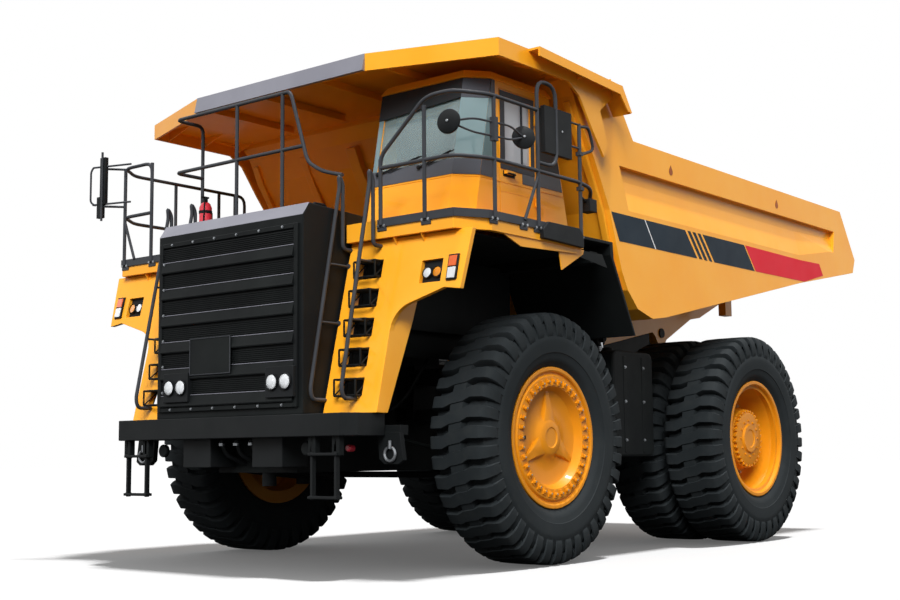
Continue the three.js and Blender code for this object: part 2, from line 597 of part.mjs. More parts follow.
function leftRailing() {
  const mid = DECK_TOP + 520;
  const posts = [
    upright(LEFT_POST, POST_Y - 2, POST_FOOT, DECK_TOP + 640),
    upright(SECOND_POST, POST_Y - 2, POST_FOOT, DECK_TOP + 1010),
    upright(POST_X + 2, -1480, POST_FOOT, DECK_TOP + 1160),
    upright(POST_X + 2, -740, POST_FOOT, DECK_TOP + 1160),
    upright(POST_X + 2, 40, POST_FOOT, DECK_TOP + 1310),
  ];
  const top = rail([
    [LEFT_POST, POST_Y - 2, DECK_TOP + 640], [2340, POST_Y - 2, DECK_TOP + 1150],
    [2590, POST_Y - 2, DECK_TOP + 1160], [POST_X + 2, -1560, DECK_TOP + 1160],
    [POST_X + 2, -740, DECK_TOP + 1160],
  ], RAIL_TUBE);
  const middle = rail([
    [LEFT_POST, POST_Y - 2, mid], [2590, POST_Y - 2, mid], [POST_X + 2, -1560, mid], [POST_X + 2, 40, mid],
  ], RAIL_TUBE);
  const toe = [
    box(LEFT_POST - 20, 2560, POST_Y - 10, POST_Y + 10, DECK_TOP + TOE[0], DECK_TOP + TOE[1]),
    box(POST_X - 10, POST_X + 10, -1500, 60, DECK_TOP + TOE[0], DECK_TOP + TOE[1]),
  ];
  const feet = [LEFT_POST + 15, SECOND_POST].map((x) => box(x - 45, x + 45, POST_Y - 35,
    DECK_FRONT - FIT, POST_FOOT - 50, POST_FOOT + 40));
  const sideFeet = [-1480, -740, 40].map((y) => box(DECK_HALF + FIT, POST_X + 25, y - 55, y + 55,
    POST_FOOT - 50, POST_FOOT + 40));
  const mirrorArm = rail([
    [POST_X + 2, -1480, DECK_TOP + 770], [POST_X - 10, -1700, DECK_TOP + 800], [2650, -1900, DECK_TOP + 820],
  ], 12, TUBE_SIDES);
  const roundMirrors = [
    bar([2650, -1925, DECK_TOP + 820], [2650, -1885, DECK_TOP + 820], 115, 12),
    bar([2690, -1010, DECK_TOP + 860], [2715, -1045, DECK_TOP + 860], 115, 12),
    rail([
      [POST_X + 2, -1480, DECK_TOP + 750], [POST_X - 30, -1250, DECK_TOP + 790],
      [2704, -1030, DECK_TOP + 860],
    ], 12, TUBE_SIDES),
  ];
  const hoop = rail([
    [POST_X + 2, -740, DECK_TOP + 1360], [POST_X + 2, -600, DECK_TOP + 1480],
    [POST_X + 2, -460, DECK_TOP + 1480], [POST_X + 2, -380, DECK_TOP + 1360],
    [POST_X + 2, -380, DECK_TOP + 720], [POST_X + 2, -500, DECK_TOP + 620],
    [POST_X + 2, -740, DECK_TOP + 620],
  ], RAIL_TUBE);
  const hoopPost = upright(POST_X + 2, -740, DECK_TOP + 1070, DECK_TOP + 1370);
  const mirror = box(POST_X - 25, POST_X + 15, -590, -90, DECK_TOP + 770, DECK_TOP + 1270);
  const mirrorStay = bar([POST_X, -380, DECK_TOP + 1020], [POST_X, -200, DECK_TOP + 1020], 15, TUBE_SIDES);
  return join(posts, top, middle, toe, feet, sideFeet, mirrorArm, roundMirrors, hoop, hoopPost, mirror,
    mirrorStay);
}

function rightRailing() {
  const mid = DECK_TOP + 520;
  const high = DECK_TOP + 1120;
  const x = -POST_X - 2;
  const y = POST_Y - 2;
  const frontPosts = [-1995, -2500];
  const sidePosts = [-910, -190, DECK_BACK - 30];
  const posts = [
    ...frontPosts.map((at) => upright(at, y, POST_FOOT, high)),
    ...sidePosts.map((at) => upright(x, at, POST_FOOT, high)),
  ];
  const rails = [high, mid].map((z) => rail([
    [frontPosts[0], y, z], [frontPosts[1], y, z], [x, -1560, z], [x, sidePosts[2], z],
  ], RAIL_TUBE));
  const toe = [
    box(-2560, -1160, POST_Y - 10, POST_Y + 10, DECK_TOP + TOE[0], DECK_TOP + TOE[1]),
    box(-POST_X - 10, -POST_X + 10, -1500, sidePosts[2], DECK_TOP + TOE[0], DECK_TOP + TOE[1]),
  ];
  const feet = frontPosts.map((px) => box(px - 60, px + 60, y - 20, DECK_FRONT - FIT,
    POST_FOOT - 50, POST_FOOT + 40));
  const sideFeet = sidePosts.map((py) => box(-DECK_HALF - FIT, -POST_X - 25, py - 55, py + 55,
    POST_FOOT - 50, POST_FOOT + 40));
  const mirror = box(-2720, -2620, -2110, -2060, DECK_TOP + 550, DECK_TOP + 1210);
  const mirrorBars = [DECK_TOP + 650, DECK_TOP + 1110].map((z) => rail([
    [frontPosts[1], y, z], [-2600, -2030, z], [-2670, -2080, z],
  ], 15, TUBE_SIDES));
  return join(posts, rails, toe, feet, sideFeet, mirror, mirrorBars);
}

// The high rail over the radiator, bent down to the left ladder's handrails.
function frontRailing() {
  const y = DECK_FRONT - 20;
  const back = -1500;
  const foot = housingTopZ(y) + RAIL_TUBE;
  const top = rail([
    [-1560, back, DECK_TOP + 1560], [-1560, y, DECK_TOP + 1560], [320, y, DECK_TOP + 1560],
    [360, y, DECK_TOP + 1510], [550, y, DECK_TOP + 920], [610, y, DECK_TOP + 740],
    [830, y, DECK_TOP + 610], [STEP_INNER - 210, y, DECK_TOP + 530],
  ], RAIL_TUBE);
  const middle = rail([
    [-1560, back, DECK_TOP + 930], [-1560, y, DECK_TOP + 930], [545, y, DECK_TOP + 930],
  ], RAIL_TUBE);
  const posts = [
    upright(-1560, back, DECK_TOP + FIT, DECK_TOP + 1560),
    upright(-510, y, foot, DECK_TOP + 1560),
    upright(220, y, foot, DECK_TOP + 1560),
  ];
  return join(top, middle, posts);
}

// ---------------------------------------------------------------- cab

// The cab's outline at a height above the deck, moved inwards by an inset.
function cabPlan(height, inset, z = DECK_TOP + FIT + height) {
  const front = CAB_FRONT + CAB_FRONT_LEAN * height + inset;
  const back = CAB_BACK + CAB_BACK_LEAN * height - inset;
  return [
    [CAB_INNER + inset, front, z], [CAB_OUTER - CAB_CORNER - inset * 0.5, front, z],
    [CAB_OUTER - inset, front + CAB_CORNER + 30 + inset * 0.4, z], [CAB_OUTER - inset, back, z],
    [CAB_INNER + inset, back, z],
  ];
}

const cabFrontY = (height) => CAB_FRONT + CAB_FRONT_LEAN * height;
const cabBackY = (height) => CAB_BACK + CAB_BACK_LEAN * height;
const cabZ = (height) => DECK_TOP + FIT + height;

// A slab that follows the leaning outline between two heights, between two insets.
function cabBand(low, high, outer, inner) {
  const body = loft([cabPlan(low, outer), cabPlan(high, outer)]);
  const core = loft([cabPlan(low, inner, cabZ(low) - 5), cabPlan(high, inner, cabZ(high) + 5)]);
  return cut(body, core);
}

function doorOpening(gap) {
  return acrossX([
    [DOOR_FRONT - gap, cabZ(DOOR_SILL - gap)], [DOOR_BACK + gap, cabZ(DOOR_SILL - gap)],
    [DOOR_BACK + gap, cabZ(DOOR_TOP + gap)], [DOOR_FRONT - gap, cabZ(DOOR_TOP + gap)],
  ], CAB_OUTER - 2 * CAB_WALL, CAB_OUTER + CAB_WALL);
}

function frontWindow() {
  const side = 60;
  const low = GLASS_LOW;
  const high = GLASS_HIGH;
  return acrossX([
    [cabFrontY(low) - 200, cabZ(low)], [cabFrontY(low) + 200 + CAB_CORNER, cabZ(low)],
    [cabFrontY(high) + 200 + CAB_CORNER - 60, cabZ(high)], [cabFrontY(high) - 200, cabZ(high)],
  ], CAB_INNER + side, CAB_OUTER - side);
}

function cabShell() {
  const walls = cabBand(0, CAB_HEIGHT, 0, CAB_WALL);
  const floor = loft([cabPlan(0, 5), cabPlan(60, 5)]);
  const front = cut(frontWindow(), box(CAB_INNER, CAB_OUTER + 10, cabFrontY(GLASS_HIGH) + CAB_CORNER + 20,
    900, DECK_TOP, CAB_HEIGHT + DECK_TOP + 100));
  const rightWindow = box(CAB_INNER - 100, CAB_INNER + 100, -1050, 0, cabZ(GLASS_LOW + 60), cabZ(GLASS_HIGH));
  const rearWindow = box(CAB_INNER + 150, CAB_OUTER - 250, 0, 600,
    cabZ(GLASS_LOW + 100), cabZ(GLASS_HIGH - 60));
  return cut(join(walls, floor), front, rightWindow, rearWindow, doorOpening(8));
}

function cabRoof() {
  const low = cabPlan(CAB_HEIGHT, -25, cabZ(CAB_HEIGHT) + FIT);
  const high = cabPlan(CAB_HEIGHT, 30, cabZ(CAB_HEIGHT) + ROOF_THICK);
  return loft([low, high]);
}

const HINGE_X = CAB_OUTER + 20;
const HINGE_Y = DOOR_BACK - 10;

function cabDoor() {
  const slab = acrossX([
    [DOOR_FRONT, cabZ(DOOR_SILL)], [DOOR_BACK, cabZ(DOOR_SILL)],
    [DOOR_BACK, cabZ(DOOR_TOP)], [DOOR_FRONT, cabZ(DOOR_TOP)],
  ], CAB_OUTER - CAB_WALL + 2, CAB_OUTER + 2);
  const window = box(CAB_OUTER - 200, CAB_OUTER + 200, DOOR_FRONT + 80, DOOR_BACK - 80, cabZ(GLASS_LOW + 10),
    cabZ(GLASS_HIGH - 30));
  const hinges = [260, 1150].map((h) => bar([HINGE_X, HINGE_Y, cabZ(h)], [HINGE_X, HINGE_Y, cabZ(h + 110)],
    20, 12));
  const handle = box(CAB_OUTER - 10, CAB_OUTER + 45, DOOR_FRONT + 60, DOOR_FRONT + 200, cabZ(540), cabZ(575));
  return join(cut(slab, window), hinges, handle);
}

function doorGlass() {
  return box(CAB_OUTER - 30, CAB_OUTER - 30 + GLASS, DOOR_FRONT + 80 + FIT, DOOR_BACK - 80 - FIT,
    cabZ(GLASS_LOW + 10) + FIT, cabZ(GLASS_HIGH - 30) - FIT);
}

function windscreen() {
  const pane = cabBand(GLASS_LOW - 20, GLASS_HIGH + 20, 18, 18 + GLASS);
  const keep = loft([
    [[CAB_INNER + 60 + FIT, -3000, cabZ(GLASS_LOW) + FIT],
      [CAB_OUTER - 60 - FIT, -3000, cabZ(GLASS_LOW) + FIT],
      [CAB_OUTER - 60 - FIT, cabFrontY(GLASS_HIGH) + CAB_CORNER + 20 - FIT, cabZ(GLASS_LOW) + FIT],
      [CAB_INNER + 60 + FIT, cabFrontY(GLASS_HIGH) + CAB_CORNER + 20 - FIT, cabZ(GLASS_LOW) + FIT]],
    [[CAB_INNER + 60 + FIT, -3000, cabZ(GLASS_HIGH) - FIT],
      [CAB_OUTER - 60 - FIT, -3000, cabZ(GLASS_HIGH) - FIT],
      [CAB_OUTER - 60 - FIT, cabFrontY(GLASS_HIGH) + CAB_CORNER + 20 - FIT, cabZ(GLASS_HIGH) - FIT],
      [CAB_INNER + 60 + FIT, cabFrontY(GLASS_HIGH) + CAB_CORNER + 20 - FIT, cabZ(GLASS_HIGH) - FIT]],
  ]);
  return geometryOf(solid(pane).intersect(solid(keep)));
}

function rightGlass() {
  return box(CAB_INNER + 20, CAB_INNER + 20 + GLASS, -1050 + FIT, -FIT, cabZ(GLASS_LOW + 60) + FIT,
    cabZ(GLASS_HIGH) - FIT);
}

function rearGlass() {
  const low = GLASS_LOW + 100;
  const high = GLASS_HIGH - 60;
  const side = [
    [cabBackY(low) - 20, cabZ(low) + FIT], [cabBackY(low) - 20 - GLASS, cabZ(low) + FIT],
    [cabBackY(high) - 20 - GLASS, cabZ(high) - FIT], [cabBackY(high) - 20, cabZ(high) - FIT],
  ];
  return acrossX(side, CAB_INNER + 150 + FIT, CAB_OUTER - 250 - FIT);
}

function seat() {
  const x = 1750;
  const cushion = box(x - 260, x + 260, -620, -120, cabZ(430), cabZ(560));
  const back = acrossX([
    [-190, cabZ(500)], [-70, cabZ(480)], [20, cabZ(1180)], [-70, cabZ(1200)],
  ], x - 250, x + 250);
  const base = box(x - 170, x + 170, -520, -180, cabZ(60) + FIT, cabZ(440));
  return join(cushion, back, base);
}

function dashboard() {
  const low = 60;
  const dash = acrossX([
    [cabFrontY(low) + CAB_WALL + 20, cabZ(low) + FIT], [-1130, cabZ(low) + FIT], [-1080, cabZ(560)],
    [-1180, cabZ(600)], [cabFrontY(600) + CAB_WALL + 20, cabZ(600)],
  ], CAB_INNER + CAB_WALL + 20, CAB_OUTER - CAB_CORNER - CAB_WALL - 40);
  const column = bar([1750, -1130, cabZ(480)], [1750, -880, cabZ(660)], 35, 12);
  const wheel = new THREE.TorusGeometry(210, 16, 6, 16);
  wheel.rotateX(THREE.MathUtils.degToRad(55)).translate(1750, -880, cabZ(665));
  const spoke = bar([1550, -880, cabZ(665)], [1950, -880, cabZ(665)], 14, 8);
  return join(dash, column, wheel, spoke);
}

// ---------------------------------------------------------------- tanks and small pieces

function tank() {
  const side = [
    [1840, 1180], [1900, 1120], [2700, 1120], [2760, 1180], [2760, 2340], [2700, 2400], [1900, 2400],
    [1840, 2340],
  ];
  const body = acrossX(side, 1050, 2010);
  const bracket = box(RAIL_OUTER + FIT, 1060, 1960, 2120, 1500, 1700);
  const cap = bar([1800, 2050, 2390], [1800, 2050, 2450], 70, 16);
  return join(body, bracket, cap);
}

function extinguisher() {
  const x = -1430;
  const y = -1560;
  return join(
    box(x - 20, x + 20, y + 70, y + 95, DECK_TOP + FIT, DECK_TOP + 500),
    box(x - 60, x + 60, y, y + 95, DECK_TOP + FIT, DECK_TOP + 180),
    bar([x, y, DECK_TOP + 170], [x, y, DECK_TOP + 620], 75, 16),
    bar([x, y, DECK_TOP + 600], [x, y, DECK_TOP + 690], 30, 12),
  );
}

// ---------------------------------------------------------------- dump body

// Height of the floor's underside.
function floorZ(y) {
  const next = Math.max(UNDERSIDE.findIndex(([at], i) => i > FLOOR_START && at >= y), FLOOR_START + 1);
  const [[y0, z0], [y1, z1]] = [UNDERSIDE[next - 1], UNDERSIDE[next]];
  return THREE.MathUtils.mapLinear(y, y0, y1, z0, z1);
}

function bodyTub() {
  const wallTop = [[PIVOT_Y + 2000, RAIL_TOP_Z - 15], [1450, RAIL_TOP_Z], [1160, CANOPY_Z - 120],
    [1060, CANOPY_Z - FIT], [WALL_HEAD, CANOPY_Z - FIT]];
  const side = [...UNDERSIDE, ...TAIL, ...wallTop];
  const walls = [1, -1].map((s) => acrossX(side, ...span(s, BODY_HALF - BODY_WALL, BODY_HALF)));
  const inner = UNDERSIDE.map(([y, z], i) => {
    const [y0, z0] = UNDERSIDE[Math.max(i - 1, 0)];
    const [y1, z1] = UNDERSIDE[Math.min(i + 1, UNDERSIDE.length - 1)];
    const length = Math.hypot(y1 - y0, z1 - z0);
    return [y - (z1 - z0) / length * BODY_SKIN, z + (y1 - y0) / length * BODY_SKIN];
  });
  inner[0] = [WALL_HEAD + 60, CANOPY_Z - FIT];
  const plates = acrossX([...UNDERSIDE, ...inner.reverse(), [WALL_HEAD, CANOPY_Z - FIT]],
    -BODY_HALF + 20, BODY_HALF - 20);
  const wedge = (s) => loft([
    [[1130, 4440], [PIVOT_Y + 1740, 4430], [PIVOT_Y + 1680, 4080], [PIVOT_Y + 480, 3890], [1330, 3890]]
      .map(([y, z]) => [s * (BODY_HALF + 10), y, z]),
    [[1130, 4440], [PIVOT_Y + 1740, 4430], [PIVOT_Y + 1730, 4330], [PIVOT_Y + 480, 4290], [1180, 4290]]
      .map(([y, z]) => [s * (BODY_HALF - 75), y, z]),
  ]);
  return cut(join(walls, plates), wedge(1), wedge(-1));
}

function canopy() {
  const plan = [
    [-CANOPY_STRAIGHT, CANOPY_FRONT], [CANOPY_STRAIGHT, CANOPY_FRONT], [CANOPY_HALF, CANOPY_SWEEP_Y],
    [CANOPY_HALF, 1050], [-CANOPY_HALF, 1050], [-CANOPY_HALF, CANOPY_SWEEP_Y],
  ];
  const plate = acrossZ(plan, CANOPY_Z, CANOPY_Z + CANOPY_PLATE);
  const low = CANOPY_Z + CANOPY_PLATE - CANOPY_LIP;
  const lipOuter = plan.slice(0, 3).concat([plan[5]]);
  const edge = 30;
  const frontLip = acrossZ([
    lipOuter[3], lipOuter[0], lipOuter[1], lipOuter[2], [CANOPY_HALF, CANOPY_SWEEP_Y + edge],
    [CANOPY_STRAIGHT, CANOPY_FRONT + edge], [-CANOPY_STRAIGHT, CANOPY_FRONT + edge],
    [-CANOPY_HALF, CANOPY_SWEEP_Y + edge],
  ], low, CANOPY_Z + 10);
  const sideLips = [1, -1].map((s) => {
    return acrossX([[CANOPY_SWEEP_Y, low], [-60, low], [150, low - 120], [420, low - 480], [620, low - 720],
      [700, low - 560], [560, low - 200], [1050, CANOPY_Z + 10], [CANOPY_SWEEP_Y, CANOPY_Z + 10]],
    ...span(s, CANOPY_HALF - edge, CANOPY_HALF));
  });
  const wings = [1, -1].map((s) => {
    const fold = [[-790, CANOPY_Z + 40], [820, CANOPY_Z - 40], [1010, CANOPY_Z - 310],
      [985, CANOPY_Z - 325], [790, CANOPY_Z - 65], [-790, CANOPY_Z + 15]];
    const lip = [[-790, CANOPY_Z + 40], [820, CANOPY_Z - 40], [1010, CANOPY_Z - 310],
      [930, CANOPY_Z - 310], [770, CANOPY_Z - 140], [-790, CANOPY_Z - 60]];
    return join(acrossX(fold, ...span(s, CANOPY_HALF - 100, WING_HALF)),
      acrossX(lip, ...span(s, WING_HALF - 20, WING_HALF)));
  });
  return join(plate, frontLip, sideLips, wings);
}

// Two bolsters that rest on the frame rails, with the pivot lugs and the hoist brackets.
function underframe() {
  const rest = (y) => seatZ(y) + SWING;
  const side = [
    [1900, rest(1900)], [PIVOT_Y - 250, rest(PIVOT_Y - 250)], ...arc(PIVOT_Y, PIVOT_Z, 175, 200, 330, 10),
    [PIVOT_Y + 900, 3190], [PIVOT_Y + 1190, 3235], [BOLSTER_END, 3520],
    ...[BOLSTER_END, PIVOT_Y + 470, 2110, 1900].map((y) => [y, floorZ(y) - FIT]),
  ];
  const parts = [1, -1].map((s) => {
    const bolster = acrossX(side, ...span(s, RAIL_INNER, RAIL_OUTER));
    const pocket = bar([s * (RAIL_INNER - 10), PIVOT_Y, PIVOT_Z], [s * (RAIL_OUTER - 130), PIVOT_Y, PIVOT_Z],
      EAR_POCKET, 28);
    const bore = bar([s * RAIL_INNER, PIVOT_Y, PIVOT_Z], [s * (RAIL_OUTER + 40), PIVOT_Y, PIVOT_Z],
      PIVOT_PIN + 5, 20);
    const plate = acrossX([[HOIST_HEAD[0] - 200, HOIST_HEAD[1] + 200],
      [HOIST_HEAD[0] - 100, HOIST_HEAD[1] - 90],
      [HOIST_HEAD[0] + 100, HOIST_HEAD[1] - 90], [HOIST_HEAD[0] + 200, HOIST_HEAD[1] + 200]],
    ...span(s, RAIL_OUTER - 20, HOIST_PIN_X - SWING));
    return join(cut(bolster, pocket, bore), plate);
  });
  const cross = [2300, 3800, PIVOT_Y - 450, PIVOT_Y + 850].map((y) => box(-RAIL_INNER - 20,
    RAIL_INNER + 20, y, y + 120, floorZ(y) - 160, floorZ(y) - FIT - 1));
  const hangers = [1, -1].map((s) => box(...span(s, 900, 1020), HANGER_Y, HANGER_Y + 200, 3250,
    floorZ(HANGER_Y) - 1));
  const hangerBeam = box(-1020, 1020, HANGER_Y, HANGER_Y + 130, 3540, floorZ(HANGER_Y) - 1);
  return join(parts, cross, hangers, hangerBeam);
}

// ---------------------------------------------------------------- hoist

function hoistParts() {
  const [fy, fz] = HOIST_FOOT;
  const [hy, hz] = HOIST_HEAD;
  const length = Math.hypot(hy - fy, hz - fz);
  const x = HOIST_X + 5;
  const half = 65;
  const eye = (at) => bar([x - half, 0, at], [x + half, 0, at], 115, 12);
  const lift = length - 200;
  const barrel = cut(
    join(bar([x, 0, 90], [x, 0, lift], 130, 12), eye(0)),
    bar([x, 0, 150], [x, 0, lift + 10], 105, 12),
    bar([x - half - 5, 0, 0], [x + half + 5, 0, 0], 66, 12),
  );
  const stage = cut(bar([x, 0, 165], [x, 0, lift + 30], 98, 12), bar([x, 0, 190], [x, 0, lift + 40], 74, 12));
  const pin = bar([HOIST_PIN_X, 0, length], [2 * x - HOIST_PIN_X, 0, length], 50, 12);
  const rod = join(bar([x, 0, 205], [x, 0, length - 60], 68, 12), eye(length), pin);
  const lean = Math.atan2(hy - fy, hz - fz);
  return [barrel, stage, rod].map((piece) => piece.rotateX(-lean).translate(0, fy, fz));
}

// ---------------------------------------------------------------- assembly

const truck = new THREE.Group();
truck.position.y = -MIDDLE_Y;

function place(name, geometry, material, x = 0, y = 0, z = 0) {
  const mesh = new THREE.Mesh(geometry, material);
  mesh.name = name;
  mesh.position.set(x, y, z);
  truck.add(mesh);
}

function placePair(name, geometry, material, x = 0, y = 0, z = 0) {
  place(`${name}_left`, geometry, material, x, y, z);
  place(`${name}_right`, mirrored(geometry), material, -x, y, z);
}

place('main_frame', mainFrame(), BLACK);
place('power_unit', powerUnit(), CAST);
place('front_bumper', bumper(), BLACK);
place('radiator_housing', radiatorHousing(), BLACK);
place('engine_hood', engineHood(), BLACK);
placePair('fender', fender(), YELLOW);
placePair('ladder', ladder(), GREY);
placePair('deck', deck(), YELLOW);
placePair('arch', arch(), BLACK);
place('railing_left', leftRailing(), GREY);
place('railing_right', rightRailing(), GREY);
place('railing_front', frontRailing(), GREY);
place('cab_shell', cabShell(), YELLOW);
place('cab_roof', cabRoof(), YELLOW);
place('cab_door', cabDoor(), YELLOW);
place('door_glass', doorGlass(), GLAZING);
place('windscreen', windscreen(), GLAZING);
place('right_glass', rightGlass(), GLAZING);
place('rear_glass', rearGlass(), GLAZING);
place('driver_seat', seat(), CLOTH);
place('dashboard', dashboard(), BLACK);
placePair('tank', tank(), CAST);
place('fire_extinguisher', extinguisher(), RED);

placePair('knuckle', knuckle(), CAST);
place('tie_rod', tieRod(), CAST);
placePair('front_rim', frontRim(), RIM_PAINT, FRONT_TRACK / 2, 0, AXLE_Z);
placePair('front_tyre', tyre(), RUBBER, FRONT_TRACK / 2, 0, AXLE_Z);
place('rear_axle', rearAxle(), CAST);
placePair('rear_rims', rearRims(), RIM_PAINT, REAR_TRACK / 2, WHEELBASE, AXLE_Z);
placePair('rear_outer_tyre', tyre(), RUBBER, (REAR_TRACK + TWIN_PITCH) / 2, WHEELBASE, AXLE_Z);
placePair('rear_inner_tyre', tyre(), RUBBER, (REAR_TRACK - TWIN_PITCH) / 2, WHEELBASE, AXLE_Z);

place('body_tub', bodyTub(), YELLOW);
place('canopy', canopy(), YELLOW);
place('body_underframe', underframe(), YELLOW);
const [hoistBarrel, hoistStage, hoistRod] = hoistParts();
placePair('hoist_barrel', hoistBarrel, CAST);
placePair('hoist_stage', hoistStage, STEEL);
placePair('hoist_rod', hoistRod, STEEL);

export default truck;
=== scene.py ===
"""Looks of a rigid mining dump truck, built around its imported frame.

Every length is in metres. Heights are above the ground, and a distance along the truck is
measured from the front axle, so that at() turns such a place into the frame of the model.
"""

import logging
import math
from dataclasses import dataclass
from enum import Enum
from typing import Any, Optional, Sequence

import bmesh
import bpy
from mathutils import Matrix, Vector


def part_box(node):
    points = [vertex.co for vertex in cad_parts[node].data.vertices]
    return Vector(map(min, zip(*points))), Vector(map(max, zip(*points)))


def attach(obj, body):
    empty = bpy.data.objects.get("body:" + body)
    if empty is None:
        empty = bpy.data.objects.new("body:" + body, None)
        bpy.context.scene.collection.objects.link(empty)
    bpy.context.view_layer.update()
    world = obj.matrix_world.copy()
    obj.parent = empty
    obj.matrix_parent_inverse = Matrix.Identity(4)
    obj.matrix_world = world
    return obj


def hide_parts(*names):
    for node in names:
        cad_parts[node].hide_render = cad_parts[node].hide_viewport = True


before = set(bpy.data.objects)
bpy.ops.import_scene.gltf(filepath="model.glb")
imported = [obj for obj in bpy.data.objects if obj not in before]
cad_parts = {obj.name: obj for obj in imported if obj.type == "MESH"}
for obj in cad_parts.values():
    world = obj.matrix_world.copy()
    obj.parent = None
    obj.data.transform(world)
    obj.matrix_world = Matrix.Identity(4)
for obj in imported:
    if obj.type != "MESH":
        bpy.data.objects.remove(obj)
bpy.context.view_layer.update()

LOG = logging.getLogger("truck")
Outline = Sequence[tuple[float, float]]
SIDES = (1, -1)


def vec(x: float, y: float, z: float) -> Vector:
    """Vector of three numbers."""
    return Vector((x, y, z))


LEFT, AHEAD, UP = vec(1, 0, 0), vec(0, -1, 0), vec(0, 0, 1)


def middle(node: str) -> Vector:
    """Middle of a node's box."""
    low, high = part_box(node)
    return (low + high) / 2


FRONT_AXLE = middle("front_rim_left")
REAR_AXLE = middle("rear_rims_left")
WHEELBASE = REAR_AXLE.y - FRONT_AXLE.y
DECK_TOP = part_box("deck_left")[1].z


def at(x: float, y: float, z: float) -> Vector:
    """Place in the model's frame of a point whose y is measured from the front axle."""
    return vec(x, y + FRONT_AXLE.y, z)


def side_name(side: int) -> str:
    """Name of the truck's left (1) or right (-1) side."""
    return "left" if side > 0 else "right"


# ------------------------------------------------------------------ finishes


def linear(code: str) -> tuple[float, float, float, float]:
    """Turns an sRGB colour into linear light.

    Args:
        code: Six hex digits, such as "f7b03a".

    Returns:
        Linear red, green and blue, and an alpha of 1.
    """
    parts = [int(code[i:i + 2], 16) / 255 for i in (0, 2, 4)]
    red, green, blue = (c / 12.92 if c <= 0.04045 else ((c + 0.055) / 1.055) ** 2.4 for c in parts)
    return red, green, blue, 1.0


def add_node(tree: bpy.types.NodeTree, kind: str, sockets: Optional[dict[Any, Any]] = None,
             **settings: Any) -> bpy.types.Node:
    """Adds a node to a tree.

    Args:
        tree: Node tree that gets the node.
        kind: Blender's name for the node's type.
        sockets: Input sockets, by name or number, with the value or the output that feeds each.
        settings: Properties of the node itself.

    Returns:
        The new node.
    """
    node = tree.nodes.new(kind)
    for name, value in settings.items():
        setattr(node, name, value)
    for name, value in (sockets or {}).items():
        if isinstance(value, bpy.types.NodeSocket):
            tree.links.new(value, node.inputs[name])
        else:
            node.inputs[name].default_value = value
    return node


@dataclass(frozen=True)
class Finish:
    """A painted, cast, moulded or plated surface with slow patches of colour and a fine grain."""

    name: str
    colour: str
    patch: str
    roughness: float
    slot: str
    metallic: float = 0.0
    coat: float = 0.0
    patch_mm: float = 700.0
    grain_mm: float = 9.0
    bump_mm: float = 0.1
    rough_spread: float = 0.08
    specular: float = 0.5

    def material(self) -> bpy.types.Material:
        """Blender material of this finish, made once."""
        found = bpy.data.materials.get(self.name)
        return found or self.build()

    def start(self) -> tuple[bpy.types.Material, bpy.types.NodeTree, bpy.types.Node]:
        """Begins the material.

        Returns:
            The material, its node tree and its main shader node.
        """
        material = bpy.data.materials.new(self.name)
        material.use_nodes = True
        material.diffuse_color = linear(self.colour)
        tree = material.node_tree
        shader = tree.nodes["Principled BSDF"]
        shader.inputs["Metallic"].default_value = self.metallic
        shader.inputs["Coat Weight"].default_value = self.coat
        shader.inputs["Coat Roughness"].default_value = 0.08
        shader.inputs["Specular IOR Level"].default_value = self.specular
        return material, tree, shader

    def noise(self, tree: bpy.types.NodeTree, size_mm: float, detail: float = 3.0) -> bpy.types.NodeSocket:
        """Noise on the piece's own coordinates.

        Args:
            tree: Tree of the material.
            size_mm: Size of a patch of the noise.
            detail: Octaves of finer noise on it.

        Returns:
            The noise's value, from 0 to 1.
        """
        place = add_node(tree, "ShaderNodeTexCoord").outputs["Object"]
        return add_node(tree, "ShaderNodeTexNoise", {
            "Vector": place, "Scale": 1000 / size_mm, "Detail": detail, "Roughness": 0.55,
        }).outputs[0]

    def mix(self, tree: bpy.types.NodeTree, share: Any, first: Any, second: Any) -> bpy.types.NodeSocket:
        """Colour between two colours.

        Args:
            tree: Tree of the material.
            share: Share of the second colour.
            first: Colour at a share of 0.
            second: Colour at a share of 1.

        Returns:
            The mixed colour.
        """
        return add_node(tree, "ShaderNodeMix", {0: share, 6: first, 7: second}, data_type="RGBA").outputs[2]

    def ramp(self, tree: bpy.types.NodeTree, value: Any, low: float, high: float,
             to_low: float = 0.0, to_high: float = 1.0) -> bpy.types.NodeSocket:
        """Maps a range of a value to another range, and holds it there."""
        return add_node(tree, "ShaderNodeMapRange", {
            0: value, 1: low, 2: high, 3: to_low, 4: to_high,
        }).outputs[0]

    def bump(self, tree: bpy.types.NodeTree, shader: bpy.types.Node, height: Any) -> None:
        """Gives the shader a bump of this finish's depth from a height."""
        normal = add_node(tree, "ShaderNodeBump", {
            "Height": height, "Distance": self.bump_mm / 1000, "Strength": 1.0,
        }).outputs["Normal"]
        tree.links.new(normal, shader.inputs["Normal"])

    def build(self) -> bpy.types.Material:
        """Makes the material: patches of colour, uneven gloss and a fine grain."""
        material, tree, shader = self.start()
        share = self.ramp(tree, self.noise(tree, self.patch_mm), 0.35, 0.7)
        colour = self.mix(tree, share, linear(self.colour), linear(self.patch))
        tree.links.new(colour, shader.inputs["Base Color"])
        gloss = self.ramp(tree, self.noise(tree, self.patch_mm / 3), 0.3, 0.7,
                          self.roughness - self.rough_spread / 2, self.roughness + self.rough_spread / 2)
        tree.links.new(gloss, shader.inputs["Roughness"])
        self.bump(tree, shader, self.noise(tree, self.grain_mm, 2.0))
        return material


